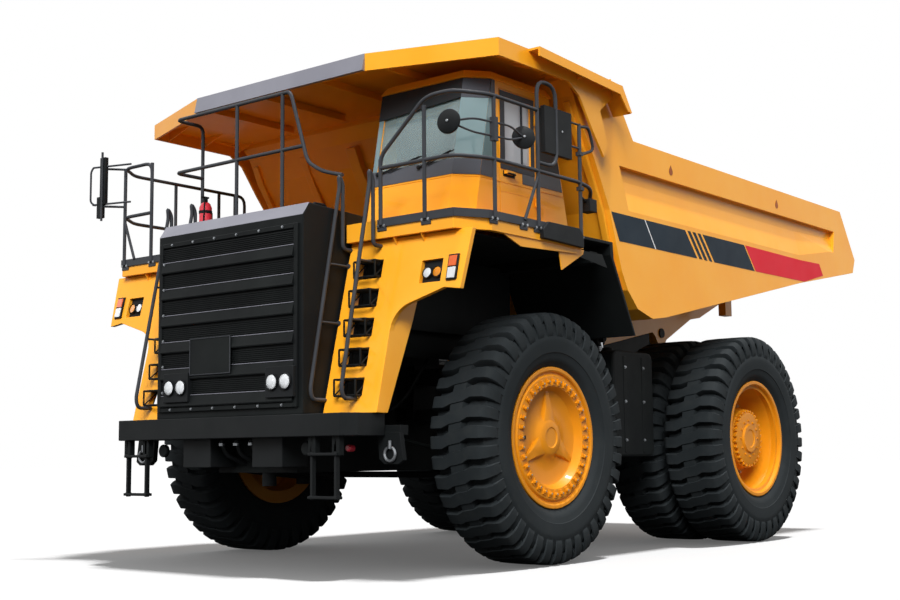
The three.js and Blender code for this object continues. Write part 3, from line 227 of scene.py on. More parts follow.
@dataclass(frozen=True)
class Rubber(Finish):
    """Moulded tyre rubber: dull black, with pale dust that stays in broad patches."""

    dust: str = "4a4b48"

    def build(self) -> bpy.types.Material:
        """Makes the rubber with its dust."""
        material, tree, shader = self.start()
        base = self.mix(tree, self.ramp(tree, self.noise(tree, self.patch_mm), 0.35, 0.7),
                        linear(self.colour), linear(self.patch))
        dusty = self.ramp(tree, self.noise(tree, self.patch_mm / 7, 5.0), 0.5, 0.78, 0.0, 0.12)
        tree.links.new(self.mix(tree, dusty, base, linear(self.dust)), shader.inputs["Base Color"])
        gloss = self.ramp(tree, dusty, 0.0, 0.12, self.roughness, self.roughness + 0.1)
        tree.links.new(gloss, shader.inputs["Roughness"])
        self.bump(tree, shader, self.noise(tree, self.grain_mm, 4.0))
        return material


@dataclass(frozen=True)
class Cloth(Finish):
    """Woven seat cloth: two crossing sets of threads."""

    thread_mm: float = 6.0    # real threads are finer; this is the finest that shows

    def build(self) -> bpy.types.Material:
        """Makes the weave from two bands at right angles."""
        material, tree, shader = self.start()
        shader.inputs["Sheen Weight"].default_value = 0.3
        place = add_node(tree, "ShaderNodeTexCoord").outputs["Object"]
        bands = [add_node(tree, "ShaderNodeTexWave", {
            "Vector": place, "Scale": 1000 / self.thread_mm / 6, "Distortion": 0.6,
        }, bands_direction=direction).outputs[1] for direction in ("X", "Z")]
        weave = add_node(tree, "ShaderNodeMath", {0: bands[0], 1: bands[1]}, operation="MULTIPLY").outputs[0]
        colour = self.mix(tree, weave, linear(self.colour), linear(self.patch))
        tree.links.new(colour, shader.inputs["Base Color"])
        shader.inputs["Roughness"].default_value = self.roughness
        self.bump(tree, shader, weave)
        return material


@dataclass(frozen=True)
class Glass(Finish):
    """Tinted glass or a clear lens, with a faint film of dust on it."""

    clear: float = 0.75

    def build(self) -> bpy.types.Material:
        """Makes the glass; the film shows as a slow change in gloss."""
        material, tree, shader = self.start()
        shader.inputs["Transmission Weight"].default_value = self.clear
        shader.inputs["IOR"].default_value = 1.5
        film = self.ramp(tree, self.noise(tree, self.patch_mm), 0.35, 0.75)
        tree.links.new(self.mix(tree, film, linear(self.colour), linear(self.patch)),
                       shader.inputs["Base Color"])
        gloss = self.ramp(tree, film, 0.0, 1.0, self.roughness, self.roughness + 0.05)
        tree.links.new(gloss, shader.inputs["Roughness"])
        return material


# Two-pack enamel sprayed on steel plate: warm orange-yellow, glossy, with faint orange peel.
YELLOW = Finish("two_pack_enamel_yellow", "f6a31c", "f8ab2c", 0.34, "machine_yellow", coat=0.2, bump_mm=0.12,
                specular=0.35)
# The same enamel on the rims, which are sprayed darker and less glossy.
RIM = Finish("rim_enamel_orange", "dd8c14", "d28210", 0.45, "rim_orange", coat=0.15, bump_mm=0.15,
             specular=0.35)
# Satin chassis enamel on plate and castings.
BLACK = Finish("chassis_enamel_black", "121415", "171a1a", 0.62, "chassis_black", bump_mm=0.2, specular=0.2)
# Satin enamel of the bumper, which catches more light than the frame.
BUMPER = Finish("bumper_enamel_charcoal", "131516", "191b1c", 0.55, "chassis_black", bump_mm=0.2,
                specular=0.25)
# Powder coat on the rails: dark grey with a fine texture.
RAIL = Finish("powder_coat_dark_grey", "323438", "3b3d41", 0.5, "rail_grey", grain_mm=4.0, bump_mm=0.15,
              specular=0.3)
# Grey enamel of the cab's window bands.
BAND = Finish("window_band_enamel_grey", "45474d", "4d4f56", 0.4, "rail_grey", coat=0.1, bump_mm=0.1,
              specular=0.3)
# Light metallic enamel of the strips over the radiator and on the canopy's lip; on the lips of the grille's
# blades it is a painted highlight.
SILVER = Finish("strip_enamel_silver_grey", "80808a", "8a8a94", 0.4, "rail_grey", metallic=0.35, coat=0.2)
# Painted grey iron: axle housing, hubs and knuckles, with a coarse sand-cast grain.
CAST = Finish("cast_iron_painted", "191b1c", "202223", 0.72, "cast_parts", grain_mm=14.0, bump_mm=0.6,
              specular=0.2)
# Hard chrome on the hoist's rods.
CHROME = Finish("hard_chrome", "c9ccd0", "b8bcc2", 0.14, "bright_steel", metallic=1.0, bump_mm=0.02)
# Zinc plate on bolts and small fittings.
ZINC = Finish("zinc_plate", "b7bbbf", "9a9ea3", 0.34, "bright_steel", metallic=0.9, patch_mm=60.0,
              bump_mm=0.05)
# Compression-moulded tyre rubber.
TYRE = Rubber("moulded_tyre_rubber", "212527", "292d2f", 0.8, "tyre_rubber", patch_mm=900.0, grain_mm=7.0,
              bump_mm=0.5,
              specular=0.2)
# Moulded ABS of mirror backs, lamp frames and the dashboard.
PLASTIC = Finish("moulded_abs_black", "141617", "1a1c1e", 0.6, "chassis_black", grain_mm=3.0, bump_mm=0.15,
                 specular=0.25)
# The body's enamel in the shade of its lifting eyes.
SHADE = Finish("enamel_in_shade", "9a4c10", "8c4410", 0.5, "machine_yellow")
# Grey-green panes that wrap round the cab's corner, dark from outside.
PANE = Finish("corner_pane_tinted", "73898c", "6a8083", 0.08, "glazing", coat=0.3, bump_mm=0.02)
# Red enamel of the extinguisher.
RED = Finish("enamel_red", "c02a3a", "cc3444", 0.3, "extinguisher_red", coat=0.4)
# Near-black enamel of the visor over the windscreen; there the band is partly the visor and partly painted
# shade, the canopy's shadow and dark reflection on the glass.
VISOR = Finish("visor_enamel_charcoal", "1f2224", "25282a", 0.5, "chassis_black", bump_mm=0.1, specular=0.3)
# Door pane: opaque pale grey, a painted reflection of the pale sky that the glass mirrors.
DOOR_PANE = Finish("door_pane_pale", "aeb3b9", "b9bec4", 0.1, "glazing", coat=0.3, bump_mm=0.02)
# Cast vinyl film of the side stripe, in three colours.
FILM_DARK = Finish("vinyl_film_blue_black", "14202a", "182631", 0.5, "chassis_black", bump_mm=0.03,
                   specular=0.2)
FILM_RED = Finish("vinyl_film_red", "d41f30", "da2838", 0.5, "extinguisher_red", bump_mm=0.03, specular=0.2)
FILM_WHITE = Finish("vinyl_film_white", "e6e7e8", "dcdddf", 0.35, "rail_grey", coat=0.3, bump_mm=0.03)
# Laminated safety glass with a green-grey tint.
GLAZING = Glass("laminated_glass_tinted", "b4cacc", "a6bcbe", 0.02, "glazing", patch_mm=400.0, clear=0.72)
# Clear, amber and orange polycarbonate lenses.
LENS = Glass("lens_clear", "f4f6f8", "e8ecef", 0.05, "glazing", patch_mm=40.0, clear=0.35)
AMBER = Glass("lens_amber", "f29a1e", "e88c12", 0.12, "glazing", patch_mm=40.0, clear=0.25)
ORANGE = Glass("lens_orange", "e8682c", "dd5c22", 0.12, "glazing", patch_mm=40.0, clear=0.2)
# Silvered glass of the mirrors and bright bowls of the headlamps.
MIRROR = Finish("silvered_glass", "dfe3e6", "d3d8dc", 0.03, "bright_steel", metallic=1.0, bump_mm=0.01)
# Woven polyester of the driver's seat.
CLOTH = Cloth("seat_cloth_woven", "23252a", "3a3d45", 0.9, "seat_cloth", bump_mm=0.8)


# ------------------------------------------------------------------ shapes


def rounded(path: Sequence[Vector], bend: float) -> list[Vector]:
    """Rounds the corners of a path.

    Args:
        path: Corners of the path.
        bend: How far from a corner its bend starts.

    Returns:
        Points of the path, five to a bend.
    """
    points = [path[0]]
    for before, corner, after in zip(path, path[1:], path[2:]):
        into, out = corner - before, after - corner
        reach = min(bend, into.length / 2, out.length / 2)
        start = corner - into.normalized() * reach
        end = corner + out.normalized() * reach
        for step in range(5):
            t = step / 4
            points.append(start * (1 - t) ** 2 + corner * (2 * t * (1 - t)) + end * t ** 2)
    points.append(path[-1])
    return points


def arc(centre: tuple[float, float], radius: float, start: float, end: float,
        steps: int) -> list[tuple[float, float]]:
    """Points of an arc in a plane, with its angles in degrees."""
    angles = [math.radians(start + (end - start) * i / steps) for i in range(steps + 1)]
    return [(centre[0] + radius * math.cos(a), centre[1] + radius * math.sin(a)) for a in angles]


class Shape:
    """Closed solids that are gathered into one mesh."""

    def __init__(self) -> None:
        """Starts with no solid."""
        self.mesh = bmesh.new()

    def loft(self, rings: Sequence[Sequence[Vector]], closed: bool = False) -> "Shape":
        """Adds a skin over rings of points.

        Args:
            rings: Rings with the same number of points.
            closed: Whether the last ring joins the first; otherwise both ends are capped.

        Returns:
            This shape.
        """
        rows = [[self.mesh.verts.new(point) for point in ring] for ring in rings]
        count = len(rows[0])
        following = rows[1:] + (rows[:1] if closed else [])
        for row, after in zip(rows, following):
            for i in range(count):
                j = (i + 1) % count
                self.mesh.faces.new((row[i], row[j], after[j], after[i]))
        if not closed:
            self.mesh.faces.new(rows[0][::-1])
            self.mesh.faces.new(rows[-1])
        return self

    def prism(self, outline: Sequence[Vector], depth: Vector) -> "Shape":
        """Adds a flat outline pushed along a depth."""
        return self.loft([list(outline), [point + depth for point in outline]])

    def box(self, low: Vector, high: Vector) -> "Shape":
        """Adds a box between two corners."""
        corners = [vec(x, y, low.z) for x, y in
                   ((low.x, low.y), (high.x, low.y), (high.x, high.y), (low.x, high.y))]
        return self.prism(corners, vec(0, 0, high.z - low.z))

    def tube(self, path: Sequence[Vector], radius: float, sides: int = 10, bend: float = 0.07) -> "Shape":
        """Adds a round tube along a path.

        Args:
            path: Corners of the tube's middle line.
            radius: Outer radius.
            sides: Sides of its section.
            bend: How far from a corner its bend starts.

        Returns:
            This shape.
        """
        points = rounded(path, bend)
        points = [p for i, p in enumerate(points) if i == 0 or (p - points[i - 1]).length > 1e-5]
        across = (points[1] - points[0]).orthogonal().normalized()
        rings = []
        for i, point in enumerate(points):
            ahead = points[min(i + 1, len(points) - 1)] - points[max(i - 1, 0)]
            ahead.normalize()
            across = (across - ahead * across.dot(ahead)).normalized()
            beside = ahead.cross(across)
            rings.append([point + across * (radius * math.cos(a)) + beside * (radius * math.sin(a))
                          for a in (2 * math.pi * k / sides for k in range(sides))])
        return self.loft(rings)

    def turn(self, profile: Outline, centre: Vector, axis: Vector, sides: int = 64) -> "Shape":
        """Adds a solid turned about an axis.

        Args:
            profile: Closed outline of (distance along the axis, radius) points; a radius of 0 is a pole.
            centre: Point on the axis where the distance is 0.
            axis: Direction of the axis.
            sides: Steps round the axis.

        Returns:
            This shape.
        """
        axis = axis.normalized()
        across = axis.orthogonal().normalized()
        beside = axis.cross(across)
        angles = [2 * math.pi * (k + 0.5) / sides for k in range(sides)]
        rings: list[list[Any]] = []
        for along, radius in profile:
            base = centre + axis * along
            if radius < 1e-6:
                rings.append([self.mesh.verts.new(base)] * sides)
            else:
                rings.append([self.mesh.verts.new(base + across * (radius * math.cos(a)) +
                                                  beside * (radius * math.sin(a))) for a in angles])
        for ring, after in zip(rings, rings[1:] + rings[:1]):
            for i in range(sides):
                j = (i + 1) % sides
                corners = list(dict.fromkeys((ring[i], ring[j], after[j], after[i])))
                if len(corners) > 2:
                    self.mesh.faces.new(corners)
        return self

    def disc(self, centre: Vector, axis: Vector, radius: float, thick: float, sides: int = 24,
             edge: float = 0.0) -> "Shape":
        """Adds a round plate that starts at its centre and is thick along its axis, with a rounded edge."""
        profile = [(0.0, 0.0), (0.0, radius), (thick - edge, radius), (thick, radius - edge), (thick, 0.0)]
        return self.turn(profile, centre, axis, sides)

    def hexagon(self, centre: Vector, axis: Vector, size: float, height: float) -> "Shape":
        """Adds a washer and the head of a bolt on it.

        Args:
            centre: Middle of the washer's seat.
            axis: Direction in which the head stands.
            size: Radius of the head's corners.
            height: Height of the head over its washer.

        Returns:
            This shape.
        """
        washer = height * 0.25
        self.turn([(0.0, 0.0), (0.0, size * 1.25), (washer, size * 1.25), (washer, 0.0)], centre, axis, 12)
        top = height + washer
        return self.turn([(washer, 0.0), (washer, size), (top - height * 0.15, size), (top, size * 0.82),
                          (top, 0.0)], centre, axis, 6)

    def mirrored(self) -> "Shape":
        """Adds the mirror image of everything so far on the truck's other side."""
        copy = bmesh.ops.duplicate(self.mesh,
                                   geom=self.mesh.verts[:] + self.mesh.edges[:] + self.mesh.faces[:])
        for vert in (g for g in copy["geom"] if isinstance(g, bmesh.types.BMVert)):
            vert.co.x = -vert.co.x
        return self

    def mesh_data(self, name: str, smooth: float) -> bpy.types.Mesh:
        """Turns the solids into a mesh whose faces point outwards.

        Args:
            name: Name of the mesh.
            smooth: Edges sharper than this many degrees stay sharp.

        Returns:
            The mesh.
        """
        bmesh.ops.recalc_face_normals(self.mesh, faces=self.mesh.faces[:])
        data = bpy.data.meshes.new(name)
        self.mesh.to_mesh(data)
        self.mesh.free()
        data.shade_smooth()
        data.set_sharp_from_angle(angle=math.radians(smooth))
        return data

    def piece(self, name: str, finish: Finish, body: str = "chassis", bevel: float = 0.0,
              smooth: float = 35.0,
              replaces: Sequence[str] = ()) -> bpy.types.Object:
        """Finishes the shape as a piece of the truck.

        Args:
            name: Name of the piece.
            finish: Its surface.
            body: Body that it moves with.
            bevel: Width of the bevel on its edges.
            smooth: Edges sharper than this many degrees stay sharp.
            replaces: CAD nodes that it stands for.

        Returns:
            The piece.
        """
        return settle(self.mesh_data(name, smooth), name, body, finish, bevel, replaces)


def settle(data: bpy.types.Mesh, name: str, body: str, finish: Finish, bevel: float = 0.0,
           replaces: Sequence[str] = ()) -> bpy.types.Object:
    """Puts a mesh in the scene as a piece that rides on a body.

    Args:
        data: The mesh, with its place in its vertices.
        name: Name of the piece.
        body: Body that it moves with.
        finish: Its surface.
        bevel: Width of the bevel on its edges.
        replaces: CAD nodes that it stands for.

    Returns:
        The piece.
    """
    piece = bpy.data.objects.new(name, data)
    bpy.context.scene.collection.objects.link(piece)
    data.materials.clear()
    data.materials.append(finish.material())
    if bevel:
        add_bevel(piece, bevel)
    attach(piece, body)
    if replaces:
        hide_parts(*replaces)
    LOG.info("%s on %s, %d faces", name, body, len(data.polygons))
    return piece


def add_bevel(piece: bpy.types.Object, width: float, angle: float = 40.0) -> None:
    """Rounds a piece's sharp edges so that they catch the light."""
    bevel = piece.modifiers.new("edges", "BEVEL")
    bevel.width = width
    bevel.segments = 2
    bevel.limit_method = "ANGLE"
    bevel.angle_limit = math.radians(angle)


def dress(finish: Finish, bevel: float, *nodes: str) -> None:
    """Gives carried-over nodes their finish and rounds their edges.

    Args:
        finish: The surface.
        bevel: Width of the rounded edges.
        nodes: Names of the nodes.
    """
    for name in nodes:
        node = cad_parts[name]
        node.data.materials.clear()
        node.data.materials.append(finish.material())
        if bevel:
            weld = node.modifiers.new("weld", "WELD")
            weld.merge_threshold = 0.0002
            add_bevel(node, bevel)
        LOG.info("%s keeps its shape", name)


# ------------------------------------------------------------------ repeated pieces


class Pattern(Enum):
    """How a repeated piece is laid out."""

    ROW = "row"
    RING = "ring"


def socket_of(tree: bpy.types.NodeTree, name: str, kind: str, output: bool = False) -> str:
    """Adds a named socket to a tree's outside and returns its identifier."""
    made = tree.interface.new_socket(name=name, in_out="OUTPUT" if output else "INPUT", socket_type=kind)
    return made.identifier


def repeat_tree(pattern: Pattern) -> tuple[bpy.types.NodeTree, dict[str, str]]:
    """Builds the node tree that copies a seed in a row or a ring.

    Args:
        pattern: ROW steps along a vector; RING turns about the x axis.

    Returns:
        The tree and its inputs' identifiers by name.
    """
    tree = bpy.data.node_groups.new(f"repeat_{pattern.value}", "GeometryNodeTree")
    names = {
        "Seed": socket_of(tree, "Seed", "NodeSocketGeometry"),
        "Count": socket_of(tree, "Count", "NodeSocketInt"),
        "Start": socket_of(tree, "Start", "NodeSocketVector"),
        "Step": socket_of(tree, "Step", "NodeSocketVector"),
        "Finish": socket_of(tree, "Finish", "NodeSocketMaterial"),
    }
    socket_of(tree, "Copies", "NodeSocketGeometry", output=True)
    inside = add_node(tree, "NodeGroupInput").outputs
    index = add_node(tree, "GeometryNodeInputIndex").outputs[0]
    stepped = add_node(tree, "ShaderNodeVectorMath", {0: inside["Step"], "Scale": index},
                       operation="SCALE").outputs[0]
    if pattern is Pattern.ROW:
        place = add_node(tree, "ShaderNodeVectorMath", {0: inside["Start"], 1: stepped}).outputs[0]
        turn: Any = (0.0, 0.0, 0.0)
    else:
        place, turn = inside["Start"], stepped
    points = add_node(tree, "GeometryNodePoints", {"Count": inside["Count"], "Position": place}).outputs[0]
    copies = add_node(tree, "GeometryNodeInstanceOnPoints", {
        "Points": points, "Instance": inside["Seed"], "Rotation": turn,
    }).outputs[0]
    real = add_node(tree, "GeometryNodeRealizeInstances", {0: copies}).outputs[0]
    done = add_node(tree, "GeometryNodeSetMaterial",
                    {"Geometry": real, "Material": inside["Finish"]}).outputs[0]
    add_node(tree, "NodeGroupOutput", {0: done})
    return tree, names


TREES = {pattern: repeat_tree(pattern) for pattern in Pattern}


def repeated(seed: Shape, pattern: Pattern, count: int, start: Vector, step: Vector, name: str, body: str,
             finish: Finish, smooth: float = 35.0) -> bpy.types.Object:
    """Copies a seed with Geometry Nodes and keeps the result as one plain piece.

    Args:
        seed: The shape to copy, drawn about the origin.
        pattern: Row or ring.
        count: Number of copies.
        start: Place of the first copy, or the ring's centre.
        step: Distance between copies, or the turn between them about each axis, in radians.
        name: Name of the piece.
        body: Body that it moves with.
        finish: Its surface.
        smooth: Edges sharper than this many degrees stay sharp.

    Returns:
        The piece.
    """
    tree, names = TREES[pattern]
    carrier = bpy.data.objects.new(f"{name}_seed", seed.mesh_data(f"{name}_seed", smooth))
    bpy.context.scene.collection.objects.link(carrier)
    modifier = carrier.modifiers.new("repeat", "NODES")
    modifier.node_group = tree
    modifier[names["Count"]] = count
    modifier[names["Start"]] = list(start)
    modifier[names["Step"]] = list(step)
    modifier[names["Finish"]] = finish.material()
    carrier.update_tag()
    bpy.context.view_layer.update()
    evaluated = carrier.evaluated_get(bpy.context.evaluated_depsgraph_get())
    data = bpy.data.meshes.new_from_object(evaluated)
    carrier.modifiers.remove(modifier)
    bpy.data.objects.remove(carrier)
    return settle(data, name, body, finish)


def row(seed: Shape, count: int, start: Vector, step: Vector, name: str, finish: Finish,
        smooth: float = 35.0) -> bpy.types.Object:
    """Copies a seed along a straight line on the chassis."""
    return repeated(seed, Pattern.ROW, count, start, step, name, "chassis", finish, smooth)


def ring(seed: Shape, count: int, centre: Vector, name: str, body: str, finish: Finish,
         smooth: float = 35.0) -> bpy.types.Object:
    """Copies a seed round an axle that points along x."""
    turn = vec(2 * math.pi / count, 0, 0)
    return repeated(seed, Pattern.RING, count, centre, turn, name, body, finish, smooth)


# ------------------------------------------------------------------ wheels


@dataclass
class Tyre:
    """A rock tyre: smooth sidewalls, deep lugs that cross the tread in a Z and wrap over its shoulders."""

    width: float = 0.735
    bead: float = 0.745
    bulge: float = 1.02
    groove: float = 1.250
    rib: float = 1.325           # band round the middle of the tread that joins the lugs
    lugs: int = 40
    lug_width: float = 0.132
    kink: float = 0.105          # how far one end of a lug is ahead of the other
    kink_half: float = 0.15      # half the width over which it moves ahead
    sides: int = 96
    shoulder: float = 0.34       # half width where a lug leaves the tread for the sidewall
    chamfer: float = 0.012

    def carcass(self, centre: Vector) -> Shape:
        """Sidewalls and the bottom of the grooves."""
        half = self.width / 2
        outer = [
            (0.252, 0.70), (0.262, self.bead), (0.296, 0.775), (0.312, 0.80), (0.330, 0.815), (0.338, 0.85),
            (0.352, 0.90), (0.360, 0.905), (half - 0.004, 0.955), (half, self.bulge), (half - 0.003, 1.07),
            (half - 0.012, 1.085), (half - 0.014, 1.13), (0.335, 1.19), (0.300, 1.236), (0.20, self.groove),
            (0.095, self.groove), (0.078, self.rib),
        ]
        profile = outer + [(-x, r) for x, r in reversed(outer)]
        return Shape().turn(profile, centre, LEFT, self.sides)

    def lug(self, radius: float) -> Shape:
        """One lug about the origin, from shoulder to shoulder.

        Args:
            radius: Outer radius of the tread.

        Returns:
            The lug.
        """
        half = self.width / 2
        stations = [
            (half - 0.006, 1.075, 0.80), (half + 0.004, 1.12, 0.86), (half + 0.002, 1.20, 0.92),
            (half - 0.018, radius - 0.062, 0.95), (0.318, radius - 0.018, 0.97), (0.285, radius - 0.004, 1.0),
            (0.16, radius, 1.0), (0.075, radius, 1.05),
        ]
        shape = Shape()
        rings = []
        for side in SIDES:
            for x, top, wide in (stations if side > 0 else reversed(stations)):
                lean = max(-1.0, min(1.0, side * x / self.kink_half))
                middle_s = lean * self.kink / 2 * min(1, x / self.kink_half)
                on_tread = x < self.shoulder
                low = min(top, self.groove) - 0.03 if on_tread else top - 0.02
                edge = top - self.chamfer * 1.5
                section = []
                for across, level in ((-1.14, low), (-1.02, edge), (-0.92, top),
                                      (0.92, top), (1.02, edge), (1.14, low)):
                    angle = (middle_s + across * self.lug_width * wide / 2) / radius
                    sunk = 0.0 if on_tread or level != low else self.chamfer
                    section.append(vec(side * (x - sunk), level * math.sin(angle), level * math.cos(angle)))
                rings.append(section)
        return shape.loft(rings)

    def build(self, side: int, centre: Vector, radius: float, body: str, node: str) -> None:
        """Makes one tyre.

        Args:
            side: 1 on the left, -1 on the right.
            centre: Its middle.
            radius: Its outer radius.
            body: Body that it turns with.
            node: CAD node that it stands for.
        """
        self.carcass(centre).piece(f"{node}_carcass", TYRE, body, smooth=40, replaces=[node])
        seed = self.lug(radius)
        if side < 0:
            for vert in seed.mesh.verts:
                vert.co.y = -vert.co.y
        ring(seed, self.lugs, centre, f"{node}_lugs", body, TYRE, smooth=32)


@dataclass
class FrontRim:
    """A steered wheel's rim: flange and lock ring, a ring of bolts and a dished cover with three ribs."""

    edge: float = 0.30
    bolts: int = 36
    bolt_circle: float = 0.598
    pad: float = 0.016           # height of the block under a bolt

    def build(self, side: int) -> None:
        """Makes the rim on one side."""
        name = f"front_rim_{side_name(side)}"
        body = f"front_wheel_{side_name(side)}"
        centre = middle(name)
        centre.x = side * abs(middle(f"front_tyre_{side_name(side)}").x)
        axis = vec(side, 0, 0)
        edge = self.edge
        front = (
            (0.035, 0.752), (0.006, 0.752), (0, 0.744), (0, 0.716), (0.008, 0.702), (0.024, 0.697),
            (0.030, 0.690), (0.030, 0.674), (0.014, 0.666), (0.006, 0.656), (0.006, 0.546), (0.018, 0.538),
            (0.060, 0.520), (0.088, 0.500), (0.094, 0.480), (0.104, 0.36), (0.100, 0.26), (0.076, 0.215),
            (0.054, 0.190), (0.040, 0.165), (0.036, 0.11), (0.046, 0.10), (0.046, 0.0),
        )
        profile = [(edge - drop, radius) for drop, radius in front] + [
            (-0.12, 0.0), (-0.12, 0.23), (-0.03, 0.575), (-edge, 0.605), (-edge, 0.752),
            (-edge + 0.03, 0.752), (-edge + 0.05, 0.655), (edge - 0.05, 0.655),
        ]
        rim = Shape().turn(profile, centre, axis, 96)
        for k in range(3):
            self.rib(rim, centre, side, math.radians(90 + 120 * k))
        rim.piece(f"{name}_dish", RIM, body, smooth=28, replaces=[name])
        bolt = Shape()
        seat = edge - 0.008
        near, far = sorted((side * seat, side * (seat + self.pad)))
        bolt.box(vec(near, -0.022, self.bolt_circle - 0.04), vec(far, 0.022, self.bolt_circle + 0.036))
        bolt.hexagon(vec(side * (seat + self.pad), 0, self.bolt_circle), axis, 0.019, 0.016)
        ring(bolt, self.bolts, centre, f"{name}_bolts", body, RIM, smooth=30)
        stud = Shape().disc(vec(side * (seat + 0.034), 0, self.bolt_circle), axis, 0.009, 0.008, 8, 0.002)
        ring(stud, self.bolts, centre, f"{name}_studs", body, ZINC, smooth=30)
        # A black block on the dish: painted shade of the valve slot's opening.
        near, far = sorted((side * (edge - 0.12), side * (edge - 0.085)))
        slot = Shape().box(centre + vec(near, -0.47, -0.02), centre + vec(far, -0.40, 0.02))
        slot.piece(f"{name}_valve_slot", PLASTIC, body)

    def rib(self, rim: Shape, centre: Vector, side: int, angle: float) -> None:
        """Adds one rib from the hub to the dish's edge.

        Args:
            rim: Shape that gets the rib.
            centre: Middle of the wheel.
            side: 1 on the left, -1 on the right.
            angle: Direction of the rib round the wheel.
        """
        out = vec(0, math.cos(angle), math.sin(angle))
        across = vec(0, -math.sin(angle), math.cos(angle))
        axis = vec(side, 0, 0)
        rings = []
        for reach, half, drop in ((0.12, 0.115, 0.050), (0.22, 0.085, 0.054), (0.34, 0.052, 0.066),
                                  (0.45, 0.034, 0.080), (0.50, 0.028, 0.088)):
            height, foot = self.edge - drop, self.edge - 0.14
            section = ((1.35, foot), (1, height - 0.008), (0.8, height), (-0.8, height), (-1, height - 0.008),
                       (-1.35, foot))
            rings.append([centre + out * reach + across * (half * share) + axis * level
                          for share, level in section])
        rim.loft(rings)


@dataclass
class RearRims:
    """Both rims of a twin wheel, deep dished, with the planetary hub that stands out of the dish."""

    edge: float = 0.30
    pitch: float = 0.84
    hub_face: float = 0.60       # from the middle between the tyres to the hub's face
    hub_radius: float = 0.345
    bolts: int = 30

    def build(self, side: int) -> None:
        """Makes the rims on one side."""
        name = f"rear_rims_{side_name(side)}"
        body = f"rear_wheels_{side_name(side)}"
        tyres = [middle(f"rear_{place}_tyre_{side_name(side)}") for place in ("outer", "inner")]
        centre = (tyres[0] + tyres[1]) / 2
        axis = vec(side, 0, 0)
        out = self.pitch / 2 + self.edge
        back = -self.pitch / 2 - self.edge
        face = self.hub_face
        well = (
            (0.035, 0.752), (0.006, 0.752), (0, 0.744), (0, 0.712), (0.010, 0.700), (0.045, 0.692),
            (0.052, 0.680), (0.075, 0.668), (0.16, 0.640), (0.36, 0.600), (0.41, 0.570), (0.42, 0.45),
            (0.40, 0.405),
        )
        hub = (
            (0.05, 0.385), (0.035, 0.375), (0.035, 0.345), (0, 0.340), (-0.004, 0.330), (-0.004, 0.19),
            (-0.030, 0.175), (-0.030, 0.12), (-0.018, 0.11), (-0.018, 0.0),
        )
        profile = [(place - drop, radius) for place, part in ((out, well), (face, hub))
                   for drop, radius in part]
        profile += [(0.23, 0.0), (0.23, 0.535), (back, 0.575), (back, 0.752), (back + 0.03, 0.752),
                    (back + 0.05, 0.655), (out - 0.05, 0.655)]
        Shape().turn(profile, centre, axis, 96).piece(f"{name}_dish", RIM, body, smooth=28, replaces=[name])
        tooth = Shape().hexagon(vec(side * (face - 0.034), 0, self.hub_radius + 0.012), axis, 0.021, 0.03)
        ring(tooth, self.bolts, centre, f"{name}_bolts", body, RIM, smooth=30)
        inner = Shape().hexagon(vec(side * (face + 0.002), 0, 0.235), axis, 0.014, 0.014)
        ring(inner, 12, centre, f"{name}_cap_bolts", body, RIM, smooth=30)
        nut = Shape().hexagon(vec(side * (out - 0.418), 0, 0.51), axis, 0.022, 0.03)
        ring(nut, 24, centre, f"{name}_nuts", body, ZINC, smooth=30)


@dataclass
class Wheels:
    """The six tyres and four rims."""

    def build(self) -> None:
        """Makes every wheel."""
        for side in SIDES:
            name = side_name(side)
            FrontRim().build(side)
            RearRims().build(side)
            for node, body in ((f"front_tyre_{name}", f"front_wheel_{name}"),
                               (f"rear_outer_tyre_{name}", f"rear_wheels_{name}"),
                               (f"rear_inner_tyre_{name}", f"rear_wheels_{name}")):
                centre = middle(node)
                Tyre().build(side, centre, centre.z - 0.001, body, node)


# ------------------------------------------------------------------ front of the truck


